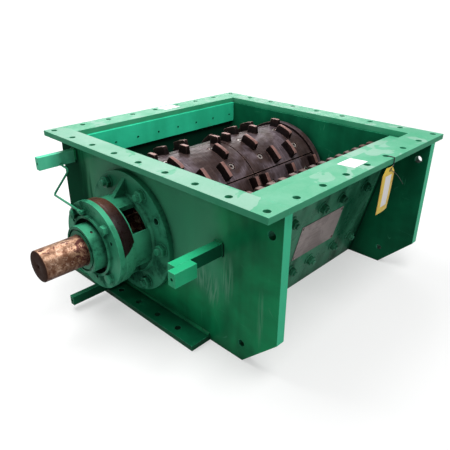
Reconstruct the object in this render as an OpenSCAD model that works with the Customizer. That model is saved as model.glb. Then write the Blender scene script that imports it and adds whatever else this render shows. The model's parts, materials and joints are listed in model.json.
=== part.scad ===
// Single roll crusher: a flanged steel housing with a toothed roll on a through shaft,
// a sloped breaker wall with a comb of ribs, and a stand-off bearing on each end plate.
// X runs across the roll, Y along the shaft with the drive end at -Y, and Z up from the floor.
// The origin is at floor level in the middle of the base bolt holes.

/* [Inlet flange] */
// Hole pitch along X
pitch_x = 101.6; // [90:0.1:125]
// Hole pitch along Y
pitch_y = 94.5; // [80:0.1:115]
// Gaps between holes on each side
pitch_count = 8; // [6:2:10]
// Distance from the hole line to the outer edge
edge_margin = 22.2; // [18:0.1:28]
// Thickness of the flange bars
flange_t = 15; // [10:0.5:22]
// Width of the bars on the back and breaker sides
flange_w_side = 77; // [66:1:90]
// Width of the bars over the end plates
flange_w_end = 65; // [56:1:70]
// Diameter of the inlet flange holes
flange_hole_d = 17.5; // [12:0.5:22]
// How far the inlet centre lies towards the breaker side of the outlet centre
inlet_shift = 77; // [66:1:85]

/* [Housing] */
// Height from the floor to the top of the flange
housing_h = 437; // [400:1:530]
// Thickness of the two end plates
plate_t = 25.4; // [18:0.1:32]
// Distance from the flange's outer edge to the face of an end plate
plate_inset = 51; // [44:1:58]
// Corner cut at the foot of each end plate, breaker side
chamfer_breaker = 102; // [80:1:125]
// Thickness of the back wall and the breaker wall
wall_t = 12.7; // [9:0.1:16]
// Lean of the breaker wall from upright, in degrees
wall_lean = 13.9; // [11:0.1:16]
// Diameter of the lifting holes near the top of the end plates
ear_hole_d = 21; // [14:1:28]
// Diameter of the lifting holes near the foot of the end plates
foot_hole_d = 18; // [12:1:24]
// Thickness of the rail between the breaker wall and the flange
rail_t = 24; // [16:1:30]

/* [Base] */
// Length of each base bar, which is also the width of the outlet over its walls
base_len = 585; // [560:1:640]
// How far a base bar stands out from its end plate
base_w = 64; // [54:1:76]
// Thickness of the base bars
base_t = 15; // [10:0.5:20]
// Pitch of the base bolt holes
base_pitch = 84.3; // [74:0.1:98]
// Number of holes in each base bar
base_holes = 6; // [4:2:6]
// Diameter of the base bolt holes
base_hole_d = 17.5; // [12:0.5:22]
// Distance from the base holes to the bar's outer edge
base_edge = 25; // [20:1:30]

/* [Back deflector] */
// Thickness of the deflector plate
deflector_t = 18; // [12:1:24]
// Height of the deflector plate
deflector_h = 68; // [55:1:82]
// Pitch of the deflector's holes
deflector_pitch = 85.5; // [70:0.5:90]
// Diameter of the deflector's holes
deflector_hole_d = 8; // [6:0.5:11]

/* [Breaker comb] */
// Thickness of the breaker plate
breaker_t = 16; // [12:1:20]
// Number of ribs in each comb section
comb_ribs = 5; // [4:1:6]
// Number of comb sections along the roll
comb_sections = 3; // [3:1:3]
// Width of a rib
rib_w = 21; // [14:1:26]
// Gap between the roll's teeth and the ribs at the foot
crush_gap = 26; // [18:1:34]
// Thickness of the plate that carries the ribs
comb_back_t = 12; // [8:1:16]

/* [Roll] */
// Height of the roll axis above the floor
axis_z = 212; // [205:1:226]
// Place of the roll axis along X
axis_x = -11; // [-30:1:10]
// Radius over the tips of the teeth
tip_r = 203; // [190:1:212]
// Radius of the segments between the teeth
floor_r = 176; // [168:1:182]
// Radius of the drum that the segments are bolted to
drum_r = 146; // [125:1:152]
// Radius of the plain ring at each end of the roll
end_ring_r = 185; // [180:1:188]
// Width of the plain rings
end_ring_w = 20; // [14:1:26]
// Space between the roll and an end plate
roll_side_gap = 13.5; // [8:0.5:20]
// Width of a tooth
tooth_w = 17; // [12:1:22]
// Gap between neighbouring segments
seam_w = 1.6; // [1:0.1:3]
// Where the first seam lies, in degrees up from +X
seam_angle = 38; // [30:1:60]
// Diameter of the segment bolt holes
roll_bolt_d = 22; // [16:1:26]
// Depth of the segment bolt holes below the segments' face
roll_bolt_depth = 12; // [8:1:20]

/* [Shaft and bearings] */
// Diameter of the shaft's drive end, beyond the collar
shaft_d = 82.6; // [70:0.1:90]
// Diameter of the shaft in the bearings
journal_d = 85.6; // [74:0.1:96]
// Diameter of the shaft inside the drum
shaft_mid_d = 115; // [104:1:124]
// Length of the shaft's drive end
shaft_out = 117; // [95:1:150]
// Length of the shaft beyond the collar at the far end
shaft_far = 14; // [8:1:30]
// Radius of the bracket's flange disc
disc_r = 173; // [165:1:180]
// Thickness of the flange disc
disc_t = 16; // [12:1:20]
// Length of the bracket's neck
neck_len = 59; // [50:1:72]
// Outer radius of the neck
neck_r = 113; // [108:1:116]
// Wall of the neck
neck_wall = 17; // [13:1:22]
// Radius of the bearing cartridge
cartridge_r = 118.8; // [117:0.1:124]
// Length of the bearing cartridge
cartridge_len = 39; // [32:1:48]
// Radius of the bearing's mounting flange
bearing_flange_r = 121; // [119:1:128]
// Thickness of the bearing's mounting flange
bearing_flange_t = 14.5; // [12:0.5:18]
// Radius of the locking collar
collar_r = 64.7; // [58:0.1:68]
// Place of the collar's face beyond the bearing flange
collar_out = 36; // [32:1:44]
// Running clearance between the shaft and the bearing
shaft_clearance = 0.05; // [0.02:0.01:0.1]
// Radius of the circle of disc studs
disc_bolt_r = 148; // [143:1:152]
// Radius of the circle of bearing flange bolts
flange_bolt_r = 98; // [94:1:101]

/* [Guard bars] */
// Length of the upper back guard bar
upper_bar_len = 117; // [100:1:150]
// Length of the lower guard bar
lower_bar_len = 177; // [140:1:200]
// Length of the side guard bar
side_bar_len = 143; // [120:1:170]
// Length of the block on the side guard bar
block_len = 62; // [50:1:76]
// Radius of the screw holes in the guard bars
bar_hole_r = 4; // [2.5:0.5:5]

/* [Hidden] */
$fn = 96;

flange_x = pitch_x * pitch_count / 2 + edge_margin;
flange_y = pitch_y * pitch_count / 2 + edge_margin;
flange_z = housing_h - flange_t;
x_back = inlet_shift - flange_x;
x_front = inlet_shift + flange_x;
plate_y = flange_y - plate_inset;
inner_y = plate_y - plate_t;
base_x = base_len / 2;
chamfer_back = -base_x - x_back;
wall_back_x = -base_x + wall_t;
lean_x = wall_t / cos(wall_lean);
function wall_out(z) = base_x + z * tan(wall_lean);
function wall_in(z) = wall_out(z) - lean_x;
rail_z = flange_z - rail_t;
rail_lap = 12;

roll_y = inner_y - roll_side_gap;
seg_y = roll_y - end_ring_w;
seg_step = 60;
seat_gap = 0.2;
tooth_root = 3;

disc_y = plate_y + disc_t;
neck_y = disc_y + neck_len;
cart_y = neck_y + cartridge_len;
bflange_y = cart_y + bearing_flange_t;
collar_y = bflange_y + collar_out;
boss_r = 84;
boss_bore_r = 76.6;
boss_h = 7.5;
shaft_r = shaft_d / 2;
journal_r = journal_d / 2;
neck_in_r = neck_r - neck_wall;
window_angles = [45, 135, 225, 315];
window_half = 20;

comb_pitch = 2 * inner_y / (comb_ribs * comb_sections);
breaker_top = rail_z - 2;
breaker_foot = 16;

// Extrudes a drawing of X and Z along Y, from y0 to y1
module along_y(y0, y1) {
    translate([0, y1, 0]) rotate([90, 0, 0]) linear_extrude(y1 - y0) children();
}

module rod_y(y0, y1, r, x = 0, z = 0) {
    along_y(y0, y1) translate([x, z]) circle(r);
}

// Puts the children on the roll's axis
module on_axis() {
    translate([axis_x, 0, axis_z]) children();
}

module far_side(is_far) {
    mirror([0, is_far ? 1 : 0, 0]) children();
}

// Drawing of a ring sector between two radii and two angles
module sector(r0, r1, a0, a1) {
    intersection() {
        difference() {
            circle(r1);
            circle(r0);
        }
        polygon([[0, 0], [2 * r1 * cos(a0), 2 * r1 * sin(a0)],
                 [2 * r1 * cos((a0 + a1) / 2), 2 * r1 * sin((a0 + a1) / 2)],
                 [2 * r1 * cos(a1), 2 * r1 * sin(a1)]]);
    }
}

module hex_nut(across, h) {
    cylinder(h = h, r = across / sqrt(3), $fn = 6);
}

// Inlet flange
module inlet_bar_end(is_far) color("mediumseagreen") far_side(is_far) {
    difference() {
        translate([x_back, -flange_y, flange_z]) cube([2 * flange_x, flange_w_end, flange_t]);
        for (i = [-pitch_count / 2 : pitch_count / 2])
            translate([inlet_shift + i * pitch_x, -pitch_y * pitch_count / 2, flange_z - 1])
                cylinder(h = flange_t + 2, d = flange_hole_d);
    }
}

// The back bar is wide enough to cover the back wall
wall_cover = 5;
back_bar_w = max(flange_w_side, wall_back_x + wall_cover - x_back);
module inlet_bar_side(side) color("mediumseagreen") {
    bar_y = flange_y - flange_w_end;
    x0 = side > 0 ? x_front - flange_w_side : x_back;
    bar_w = side > 0 ? flange_w_side : back_bar_w;
    difference() {
        translate([x0, -bar_y, flange_z]) cube([bar_w, 2 * bar_y, flange_t]);
        for (i = [-pitch_count / 2 + 1 : pitch_count / 2 - 1])
            translate([inlet_shift + side * pitch_x * pitch_count / 2, i * pitch_y, flange_z - 1])
                cylinder(h = flange_t + 2, d = flange_hole_d);
    }
}

// End plates
plate_bore_r = 92;
ear_in = 29.7;
ear_down = 66.5;
foot_in = 106;
foot_up = 50.4;
module end_plate(is_far) color("seagreen") far_side(is_far) {
    along_y(-plate_y, -inner_y) difference() {
        polygon([[x_back, flange_z], [x_back, chamfer_back], [-base_x, 0],
                 [x_front - chamfer_breaker, 0], [x_front, chamfer_breaker], [x_front, flange_z]]);
        translate([axis_x, axis_z]) circle(plate_bore_r);
        translate([x_front - ear_in, housing_h - ear_down]) circle(d = ear_hole_d);
        translate([x_front - foot_in, foot_up]) circle(d = foot_hole_d);
        for (a = stud_angles)
            translate([axis_x + disc_bolt_r * cos(a), axis_z + disc_bolt_r * sin(a)])
                circle(stud_r);
    }
}

// Walls
module back_wall() color("seagreen")
    translate([-base_x, -inner_y, 0]) cube([wall_t, 2 * inner_y, flange_z]);

module breaker_wall() color("seagreen")
    along_y(-inner_y, inner_y)
        polygon([[wall_in(0), 0], [wall_out(0), 0], [wall_out(rail_z), rail_z], [wall_in(rail_z), rail_z]]);

module breaker_rail() color("seagreen")
    translate([wall_in(rail_z), -inner_y, rail_z])
        cube([x_front - flange_w_side + rail_lap - wall_in(rail_z), 2 * inner_y, rail_t]);

deflector_row = 26;
module deflector() color("lightseagreen") difference() {
    translate([wall_back_x, -inner_y, flange_z - deflector_h]) cube([deflector_t, 2 * inner_y, deflector_h]);
    for (i = [-3.5 : 1 : 3.5])
        translate([wall_back_x - 1, i * deflector_pitch, flange_z - deflector_h + deflector_row])
            rotate([0, 90, 0]) cylinder(h = deflector_t + 2, d = deflector_hole_d);
}

// Breaker plate and comb
module breaker_plate() color("saddlebrown")
    along_y(-inner_y, inner_y)
        polygon([[wall_in(breaker_foot) - breaker_t, breaker_foot], [wall_in(breaker_foot), breaker_foot],
                 [wall_in(breaker_top), breaker_top], [wall_in(breaker_top) - breaker_t, breaker_top]]);

comb_foot = 24;
comb_sunk = 1;
function comb_back(z) = wall_in(z) - breaker_t;
function comb_face(z) = comb_back(z) - comb_back_t;
// Front of the ribs: at the foot they keep the crushing gap, and above it they draw away from the roll
function gap_x(z, more) = axis_x + sqrt(pow(tip_r + crush_gap + more, 2) - pow(z - axis_z, 2));
rib_front = [[70, 0], [120, 3], [170, 9], [220, 24], [270, 56]];
rib_foot_out = 40;
rib_upper = [340, 34];
rib_top_out = 27;
module rib_outline()
    polygon(concat([[comb_face(comb_foot) + comb_sunk, comb_foot],
                    [comb_face(comb_foot) - rib_foot_out, comb_foot]],
                   [for (p = rib_front) [gap_x(p[0], p[1]), p[0]]],
                   [[comb_face(rib_upper[0]) - rib_upper[1], rib_upper[0]],
                    [comb_face(breaker_top) - rib_top_out, breaker_top],
                    [comb_face(breaker_top) + comb_sunk, breaker_top]]));

section_gap = 0.5;
module comb(section) color("sienna") {
    first = (section - 1) * comb_ribs - comb_ribs * comb_sections / 2;
    along_y(first * comb_pitch + section_gap, (first + comb_ribs) * comb_pitch - section_gap)
        polygon([[comb_face(comb_foot), comb_foot], [comb_back(comb_foot), comb_foot],
                 [comb_back(breaker_top), breaker_top], [comb_face(breaker_top), breaker_top]]);
    for (i = [0 : comb_ribs - 1])
        along_y((first + i + 0.5) * comb_pitch - rib_w / 2, (first + i + 0.5) * comb_pitch + rib_w / 2)
            rib_outline();
}

// Washers, nuts and bolt ends outside the breaker wall
nut_upper_z = 280;
nut_lower_z = 85;
nut_upper_y = [-215, -120, 16, 111, 242];
nut_lower_y = [-262, -170, -45, 46, 172, 267];
washer_r = 19;
washer_t = 3;
wall_nut_af = 24;
wall_nut_top = 16;
wall_bolt_r = 8;
wall_bolt_end = 22;
module wall_nut(y, z)
    translate([wall_out(z), y, z]) rotate([0, 90 + wall_lean, 0]) {
        cylinder(h = washer_t, r = washer_r);
        hex_nut(wall_nut_af, wall_nut_top);
        cylinder(h = wall_bolt_end, r = wall_bolt_r);
    }
module breaker_nuts() color("darkgreen") {
    for (y = nut_upper_y) wall_nut(y, nut_upper_z);
    for (y = nut_lower_y) wall_nut(y, nut_lower_z);
}

// Base bars
module base_bar(is_far) color("seagreen") far_side(is_far) difference() {
    translate([-base_x, -plate_y - base_w, 0]) cube([base_len, base_w, base_t]);
    for (i = [0 : base_holes - 1])
        translate([(i - (base_holes - 1) / 2) * base_pitch, -plate_y - base_w + base_edge, -1])
            cylinder(h = base_t + 2, d = base_hole_d);
}

// Bearing bracket: flange disc, windowed neck, and gussets above and below the neck
stud_r = 9;
stud_angles = [0 : 60 : 300];
jack_angles = [30, 210];
gusset_t = 12;
gusset_in = 14;
gusset_sunk = 4;
window_end = 4;
module bracket(is_far) color("mediumseagreen") far_side(is_far) on_axis() difference() {
    union() {
        rod_y(-disc_y, -plate_y, disc_r);
        rod_y(-neck_y, -disc_y, neck_r);
        for (a = [90, 270])
            rotate([0, -a, 0]) translate([0, 0, -gusset_t / 2]) linear_extrude(gusset_t)
                polygon([[neck_r - gusset_sunk, -neck_y + gusset_in], [neck_r - gusset_sunk, -disc_y + 2],
                         [disc_r - gusset_in, -disc_y + 2], [disc_r - gusset_in, -disc_y]]);
    }
    rod_y(-neck_y - 1, -plate_y + 1, neck_in_r);
    for (a = window_angles)
        along_y(-neck_y + window_end, -disc_y - window_end)
            sector(neck_in_r / 2, disc_r, a - window_half, a + window_half);
    for (a = stud_angles)
        rod_y(-disc_y - 1, -plate_y + 1, stud_r, disc_bolt_r * cos(a), disc_bolt_r * sin(a));
    for (a = jack_angles)
        rod_y(-disc_y - 1, -plate_y + 1, stud_r, disc_bolt_r * cos(a), disc_bolt_r * sin(a));
}

module cartridge(is_far) color("brown") far_side(is_far) on_axis() difference() {
    rod_y(-cart_y, -neck_y, cartridge_r);
    rod_y(-cart_y - 1, -neck_y + 1, journal_r + shaft_clearance);
}

flange_bolt_angles = [45, 135, 225, 315];
tap_angles = [23, 153, 270];
tap_circle_r = 95;
tap_r = 5;
module bearing_flange(is_far) color("mediumseagreen") far_side(is_far) on_axis() difference() {
    union() {
        rod_y(-bflange_y, -cart_y, bearing_flange_r);
        rod_y(-bflange_y - boss_h, -bflange_y, boss_r);
    }
    rod_y(-bflange_y - boss_h - 1, -cart_y + 1, boss_bore_r);
    for (a = tap_angles)
        rod_y(-bflange_y - 1, -cart_y + 1, tap_r, tap_circle_r * cos(a), tap_circle_r * sin(a));
}

// Studs and nuts on the disc, and the bearing flange's bolts
stud_nut_af = 30;
stud_nut_h = 14;
stud_end = 24;
flange_bolt_af = 24;
flange_bolt_h = 13;
module bearing_bolts(is_far) color("mediumseagreen") far_side(is_far) on_axis() {
    for (a = stud_angles)
        translate([disc_bolt_r * cos(a), -disc_y, disc_bolt_r * sin(a)]) {
            rotate([90, 0, 0]) hex_nut(stud_nut_af, stud_nut_h);
            rod_y(-stud_end, disc_t + plate_t, stud_r);
        }
    for (a = flange_bolt_angles)
        translate([flange_bolt_r * cos(a), -bflange_y, flange_bolt_r * sin(a)])
            rotate([90, 0, 0]) hex_nut(flange_bolt_af, flange_bolt_h);
}

// Guard bars on the drive end plate: a bar from y0 to y1, and one with a screw hole in its end
bar_hole_depth = 24;
module bar(x, z, w, h, y0, y1)
    translate([x, y0, z]) cube([w, y1 - y0, h]);

module tapped_bar(x, z, w, h, y0, y1) difference() {
    bar(x, z, w, h, y0, y1);
    rod_y(y0 - 1, y0 + bar_hole_depth, bar_hole_r, x + w / 2, z + h / 2);
}

upper_bar = [17, 38];
lower_bar = [16, 27];
side_bar = [25, 32];
block = [22, 35];
side_bar_x = 313;
side_bar_z = 268;
side_bar_end = -plate_y - side_bar_len;
block_out = 20;
upper_bar_x = -295;
upper_bar_z = 346;
lower_bar_x = -88;
module guard_bar_upper() color("mediumseagreen")
    tapped_bar(upper_bar_x, upper_bar_z, upper_bar[0], upper_bar[1], -plate_y - upper_bar_len, -plate_y);
module guard_bar_lower() color("mediumseagreen")
    tapped_bar(lower_bar_x, base_t, lower_bar[0], lower_bar[1], -plate_y - lower_bar_len, -plate_y);
module guard_bar_side() color("mediumseagreen")
    bar(side_bar_x, side_bar_z, side_bar[0], side_bar[1], side_bar_end, -plate_y);
module guard_block() color("mediumseagreen")
    tapped_bar(side_bar_x + side_bar[0], side_bar_z + side_bar[1] - block[1], block[0], block[1],
               side_bar_end - block_out, side_bar_end - block_out + block_len);

// A run of straight round pieces through the points of a route, with a ball at each bend
bend_over = 0.03;
module run(route, r, facets) {
    for (i = [0 : len(route) - 2]) {
        start = route[i];
        d = route[i + 1] - start;
        translate(start) rotate([0, acos(d[2] / norm(d)), atan2(d[1], d[0])])
            cylinder(h = norm(d), r = r, $fn = facets);
        if (i > 0) translate(start) sphere(r + bend_over, $fn = facets);
    }
}

// Grease line from the upper guard bar's side to a fitting on the bearing flange. Its first run
// starts inside the bar and is cut off flush with the bar's side.
pipe_r = 3.2;
pipe_start_in = 6;
fitting_r = 7;
fitting_len = 15;
fitting_at = [-34.8, 300.9];
pipe_end = -bflange_y - 8;
pipe_start = [upper_bar_x + upper_bar[0] - pipe_start_in, -plate_y - 52.8, upper_bar_z + pipe_start_in];
grease_route = [pipe_start, [-244, -plate_y - 44.8, upper_bar_z - 6], [-266, pipe_end + 45.7, 269],
                [-70, pipe_end, 305], [fitting_at[0], pipe_end, fitting_at[1]]];
module grease_line() color("mediumseagreen") {
    difference() {
        run(grease_route, pipe_r, 24);
        bar(upper_bar_x, upper_bar_z, upper_bar[0], upper_bar[1], -plate_y - upper_bar_len, -plate_y);
    }
    rod_y(-bflange_y - fitting_len, -bflange_y, fitting_r, fitting_at[0], fitting_at[1]);
}

// Bare plate on the breaker wall
name_y = [-57, 147];
name_z = [126, 240];
name_t = 2;
module nameplate() color("silver")
    along_y(name_y[0], name_y[1])
        polygon([[wall_out(name_z[0]), name_z[0]], [wall_out(name_z[0]) + name_t, name_z[0]],
                 [wall_out(name_z[1]) + name_t, name_z[1]], [wall_out(name_z[1]), name_z[1]]]);

// Plain tag that hangs from a flange hole by a tie
tag_w = 62;
tag_h = 124;
tag_t = 0.8;
tag_out = 3;
tag_y = 43;
tag_z = 294;
tag_hole_y = 78;
tag_hole_z = 410;
tag_hole_r = 3;
tie_r = 1.2;
tie_x = x_front + tie_r + 0.4;
hole_x = x_front - edge_margin;
tie_top = housing_h + tie_r + 0.2;
tie_route = [[hole_x, pitch_y, flange_z], [hole_x + 6, pitch_y, tie_top],
             [tie_x, pitch_y, tie_top], [tie_x, pitch_y, flange_z - 2],
             [x_front + tag_out - 1.6, tag_hole_y, tag_hole_z], [x_front + tag_out + 3, tag_hole_y, tag_hole_z]];
module tag() color("gold") difference() {
    translate([x_front + tag_out, tag_y, tag_z]) cube([tag_t, tag_w, tag_h]);
    translate([x_front, tag_hole_y, tag_hole_z]) rotate([0, 90, 0]) cylinder(h = 2 * tag_out, r = tag_hole_r);
}
module tag_tie() color("black") run(tie_route, tie_r, 16);

// Roll and shaft
centre_hole_r = 5;
centre_hole_depth = 14;
module shaft() color("peru") on_axis() difference() {
    union() {
        rod_y(-collar_y - shaft_out, -roll_y, shaft_r);
        rod_y(-collar_y, collar_y + shaft_far, journal_r);
        rod_y(-roll_y, roll_y, shaft_mid_d / 2);
    }
    rod_y(-collar_y - shaft_out - 1, -collar_y - shaft_out + centre_hole_depth, centre_hole_r);
}

// Locking collar, with a groove in its face and a set screw hole
collar_in = 6;
groove_r = [52, 58];
groove_depth = 4;
set_screw_r = 4;
set_screw_in = 18;
set_screw_angle = 29;
module collar(is_far) color("mediumseagreen") far_side(is_far) on_axis() difference() {
    rod_y(-collar_y, -bflange_y + collar_in, collar_r);
    rod_y(-collar_y - 1, -bflange_y + collar_in + 1, journal_r);
    difference() {
        rod_y(-collar_y - 1, -collar_y + groove_depth, groove_r[1]);
        rod_y(-collar_y - 2, -collar_y + groove_depth + 1, groove_r[0]);
    }
    translate([0, -collar_y + set_screw_in, 0]) rotate([0, set_screw_angle, 0])
        cylinder(h = collar_r + 5, r = set_screw_r);
}

module drum() color("dimgray") on_axis() difference() {
    rod_y(-seg_y, seg_y, drum_r);
    rod_y(-seg_y - 1, seg_y + 1, shaft_mid_d / 2);
}

module end_ring(is_far) color("dimgray") far_side(is_far) on_axis() difference() {
    rod_y(-roll_y, -seg_y, end_ring_r);
    rod_y(-roll_y - 1, -seg_y + 1, shaft_mid_d / 2);
}

// Teeth of one segment: distance from the middle seam, start and end angle after the segment's own seam
teeth = [[110, 2.5, 20], [189, 2.5, 20], [64, 24, 42], [237, 24, 42],
         [23, 47, 58], [150, 47, 58], [266, 47, 58]];
bolt_rows = [15, 45];
bolt_places = [64, 236];
module half_segment(start) {
    gap_angle = seam_w / 2 / floor_r * 180 / PI;
    difference() {
        union() {
            along_y(-seg_y, -seam_w / 2)
                sector(drum_r + seat_gap, floor_r, start + gap_angle, start + seg_step - gap_angle);
            for (t = teeth)
                along_y(-t[0] - tooth_w / 2, -t[0] + tooth_w / 2)
                    sector(floor_r - tooth_root, tip_r, start + t[1], start + t[2]);
        }
        for (a = bolt_rows, y = bolt_places)
            translate([0, -y, 0]) rotate([0, 90 - start - a, 0])
                translate([0, 0, floor_r - roll_bolt_depth]) cylinder(h = 60, d = roll_bolt_d);
    }
}
module segment(i) color("rosybrown") on_axis() {
    start = seam_angle + (i - 1) * seg_step;
    half_segment(start);
    mirror([0, 1, 0]) half_segment(start);
}

inlet_bar_end(false);  // inlet_bar_drive
inlet_bar_end(true);  // inlet_bar_far
inlet_bar_side(1);  // inlet_bar_breaker
inlet_bar_side(-1);  // inlet_bar_back
end_plate(false);  // end_plate_drive
end_plate(true);  // end_plate_far
back_wall();
breaker_wall();
breaker_rail();
deflector();
breaker_plate();
comb(1);  // comb_1
comb(2);  // comb_2
comb(3);  // comb_3
breaker_nuts();
base_bar(false);  // base_bar_drive
base_bar(true);  // base_bar_far
bracket(false);  // bracket_drive
bracket(true);  // bracket_far
cartridge(false);  // cartridge_drive
cartridge(true);  // cartridge_far
bearing_flange(false);  // bearing_flange_drive
bearing_flange(true);  // bearing_flange_far
bearing_bolts(false);  // bearing_bolts_drive
bearing_bolts(true);  // bearing_bolts_far
guard_bar_upper();
guard_bar_lower();
guard_bar_side();
guard_block();
grease_line();
nameplate();
tag();
tag_tie();
shaft();
collar(false);  // collar_drive
collar(true);  // collar_far
drum();
end_ring(false);  // end_ring_drive
end_ring(true);  // end_ring_far
segment(1);  // segment_1
segment(2);  // segment_2
segment(3);  // segment_3
segment(4);  // segment_4
segment(5);  // segment_5
segment(6);  // segment_6
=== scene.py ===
import json
import math

import bmesh
import bpy
import numpy as np
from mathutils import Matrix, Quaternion, Vector


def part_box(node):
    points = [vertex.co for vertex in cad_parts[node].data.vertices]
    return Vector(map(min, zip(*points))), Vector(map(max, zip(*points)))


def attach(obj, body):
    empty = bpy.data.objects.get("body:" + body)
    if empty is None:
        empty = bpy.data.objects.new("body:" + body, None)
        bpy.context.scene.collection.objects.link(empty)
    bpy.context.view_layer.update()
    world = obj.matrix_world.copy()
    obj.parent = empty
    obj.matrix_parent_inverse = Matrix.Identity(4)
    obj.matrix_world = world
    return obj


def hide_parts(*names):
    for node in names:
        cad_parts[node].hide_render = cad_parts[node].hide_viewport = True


bl_info = {
    "name": "Single roll crusher",
    "version": (1, 0, 0),
    "blender": (4, 5, 0),
    "location": "View3D > Sidebar > Crusher",
    "description": "Builds the housing, bearings, toothed roll and fittings of a single roll crusher",
    "category": "Add Mesh",
}

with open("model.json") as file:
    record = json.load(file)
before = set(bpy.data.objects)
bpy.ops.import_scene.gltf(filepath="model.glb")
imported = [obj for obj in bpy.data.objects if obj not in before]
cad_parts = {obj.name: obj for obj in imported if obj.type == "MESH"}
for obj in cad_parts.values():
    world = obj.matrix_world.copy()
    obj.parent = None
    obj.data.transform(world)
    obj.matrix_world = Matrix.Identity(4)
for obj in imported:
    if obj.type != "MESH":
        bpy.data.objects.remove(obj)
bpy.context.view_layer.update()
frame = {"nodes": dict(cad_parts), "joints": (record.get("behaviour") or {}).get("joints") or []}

HOUSING = "housing"
ROLL = "roll"
# The two ends: which side of the middle each is on along Y, and its name
ENDS = ((-1, "drive"), (1, "far"))
joint_at = frame["joints"][0]["pos_m"]
AXIS_X, AXIS_Z = joint_at[0], joint_at[2]


def low(node):
    """The lowest corner of a node's box."""
    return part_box(node)[0]


def high(node):
    """The highest corner of a node's box."""
    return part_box(node)[1]


# Sizes of the CAD part that its boxes don't give: the flange disc's thickness, the thickness of
# the bearing's mounting flange without its boss, and the lean of the breaker wall
DISC_T = 0.016
BFLANGE_T = 0.0145
WALL_LEAN = math.radians(13.9)

# Places taken from the frame, in metres. The drive end is at -Y.
FLANGE_Z = low("inlet_bar_drive").z
FLANGE_TOP = high("inlet_bar_drive").z
X_BACK = low("inlet_bar_back").x
X_FRONT = high("inlet_bar_breaker").x
PLATE_Y = -low("end_plate_drive").y
INNER_Y = -high("end_plate_drive").y
DISC_Y = PLATE_Y + DISC_T
NECK_Y = -high("cartridge_drive").y
CART_Y = -low("cartridge_drive").y
BFLANGE_Y = CART_Y + BFLANGE_T
COLLAR_Y = -low("collar_drive").y
SHAFT_END = -low("shaft").y
SHAFT_FAR = high("shaft").y
ROLL_Y = -low("end_ring_drive").y
SEG_Y = -high("end_ring_drive").y
DRUM_R = (high("drum").x - low("drum").x) / 2
RING_R = (high("end_ring_drive").x - low("end_ring_drive").x) / 2
BASE_TOP = high("base_bar_drive").z
BASE_X = high("base_bar_drive").x
RAIL_Z = low("breaker_rail").z


# ---------------------------------------------------------------- settings

def length(name, description, default):
    """A setting in metres."""
    return bpy.props.FloatProperty(name=name, description=description, default=default,
                                   min=0.0, unit="LENGTH", precision=5)


def colour(name, description, default):
    """A colour setting."""
    return bpy.props.FloatVectorProperty(name=name, description=description, default=default,
                                         size=3, min=0.0, max=1.0, subtype="COLOR")


def share(name, description, default):
    """A setting from 0 to 1."""
    return bpy.props.FloatProperty(name=name, description=description, default=default,
                                   min=0.0, max=1.0, subtype="FACTOR")


class CrusherPaint(bpy.types.PropertyGroup):
    deep: colour("Deep paint", "Enamel in corners and runs", (0.004, 0.120, 0.048))
    body: colour("Body paint", "Enamel on the plates", (0.008, 0.305, 0.112))
    chalky: colour("Chalky paint", "Enamel that has weathered to a grey green", (0.066, 0.320, 0.180))
    # The inside colour is lightened to stand for painted light on the inlet's inner faces.
    lit_liner: colour("Inside paint", "Enamel inside the inlet", (0.036, 0.680, 0.380))
    top: colour("Flange paint", "Enamel on the flange", (0.068, 0.325, 0.190))
    # The dusty colour stands partly for painted sheen on upward faces.
    pale: colour("Dusty paint and sheen", "Enamel under a film of pale dust", (0.275, 0.415, 0.345))
    fitting: colour("Casting paint", "Enamel on the castings", (0.058, 0.365, 0.205))
    # This colour is laid as a painted highlight on the edge faces that look along +X.
    edge_highlight: colour("Edge highlight paint", "Thick enamel on the edges and guard bars", (0.055, 0.600, 0.330))
    gloss: share("Roughness", "Roughness of the enamel", 0.34)
    edge: length("Edge rounding", "Rounding on the plates' edges", 0.0013)


class CrusherRoll(bpy.types.PropertyGroup):
    floor_r: length("Floor radius", "Radius of the segments between the teeth", 0.176)
    tip_r: length("Tip radius", "Radius over the teeth", 0.203)
    tooth_w: length("Tooth width", "Width of a tooth", 0.017)
    seam: length("Seam", "Gap between neighbouring segments", 0.0042)
    wear: length("Wear", "Depth of the worn hollows", 0.0011)
    draft: length("Draft", "How far a tooth's side leans in over its height", 0.0028)
    steel: colour("Worn steel", "Rubbed steel between the teeth", (0.112, 0.083, 0.094))
    rust: colour("Rust", "Brown rust between the teeth", (0.052, 0.031, 0.027))
    crown: colour("Tooth crowns", "Rubbed rust on the crowns and edges of the teeth",
                  (0.255, 0.130, 0.112))
    # The dark sides colour is painted shade on the teeth's steep sides, and dirt and painted shade in
    # corners.
    dark: colour("Dark sides", "Dirt and painted shade on the teeth's sides", (0.005, 0.003, 0.003))


class CrusherBearing(bpy.types.PropertyGroup):
    stud_circle: length("Stud circle", "Radius of the circle of disc studs", 0.148)
    bolt_circle: length("Bolt circle", "Radius of the circle of bearing flange bolts", 0.098)
    stud_nut: length("Disc nut", "Width across flats of a disc nut", 0.030)
    bolt_head: length("Bolt head", "Width across flats of a bearing flange bolt", 0.024)
    stud_r: length("Stud radius", "Radius of a disc stud", 0.009)
    rust: colour("Ring rust", "Rust on the bearing's outer ring", (0.085, 0.033, 0.020))
    shaft: colour("Shaft", "Bare shaft steel under light rust", (0.380, 0.225, 0.145))


class CrusherDetail(bpy.types.PropertyGroup):
    bead: length("Weld leg", "Leg of the long welds", 0.0060)
    small_bead: length("Small weld leg", "Leg of the welds round the guard bars", 0.0040)
    pipe_r: length("Pipe radius", "Radius of the grease pipe", 0.0032)
    tie_r: length("Tie radius", "Radius of the tag's tie", 0.0012)
    tag: colour("Tag", "Card of the hanging tag", (0.800, 0.560, 0.045))
    plate: colour("Plate", "Dull metal of the blank plate", (0.420, 0.345, 0.340))


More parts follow.
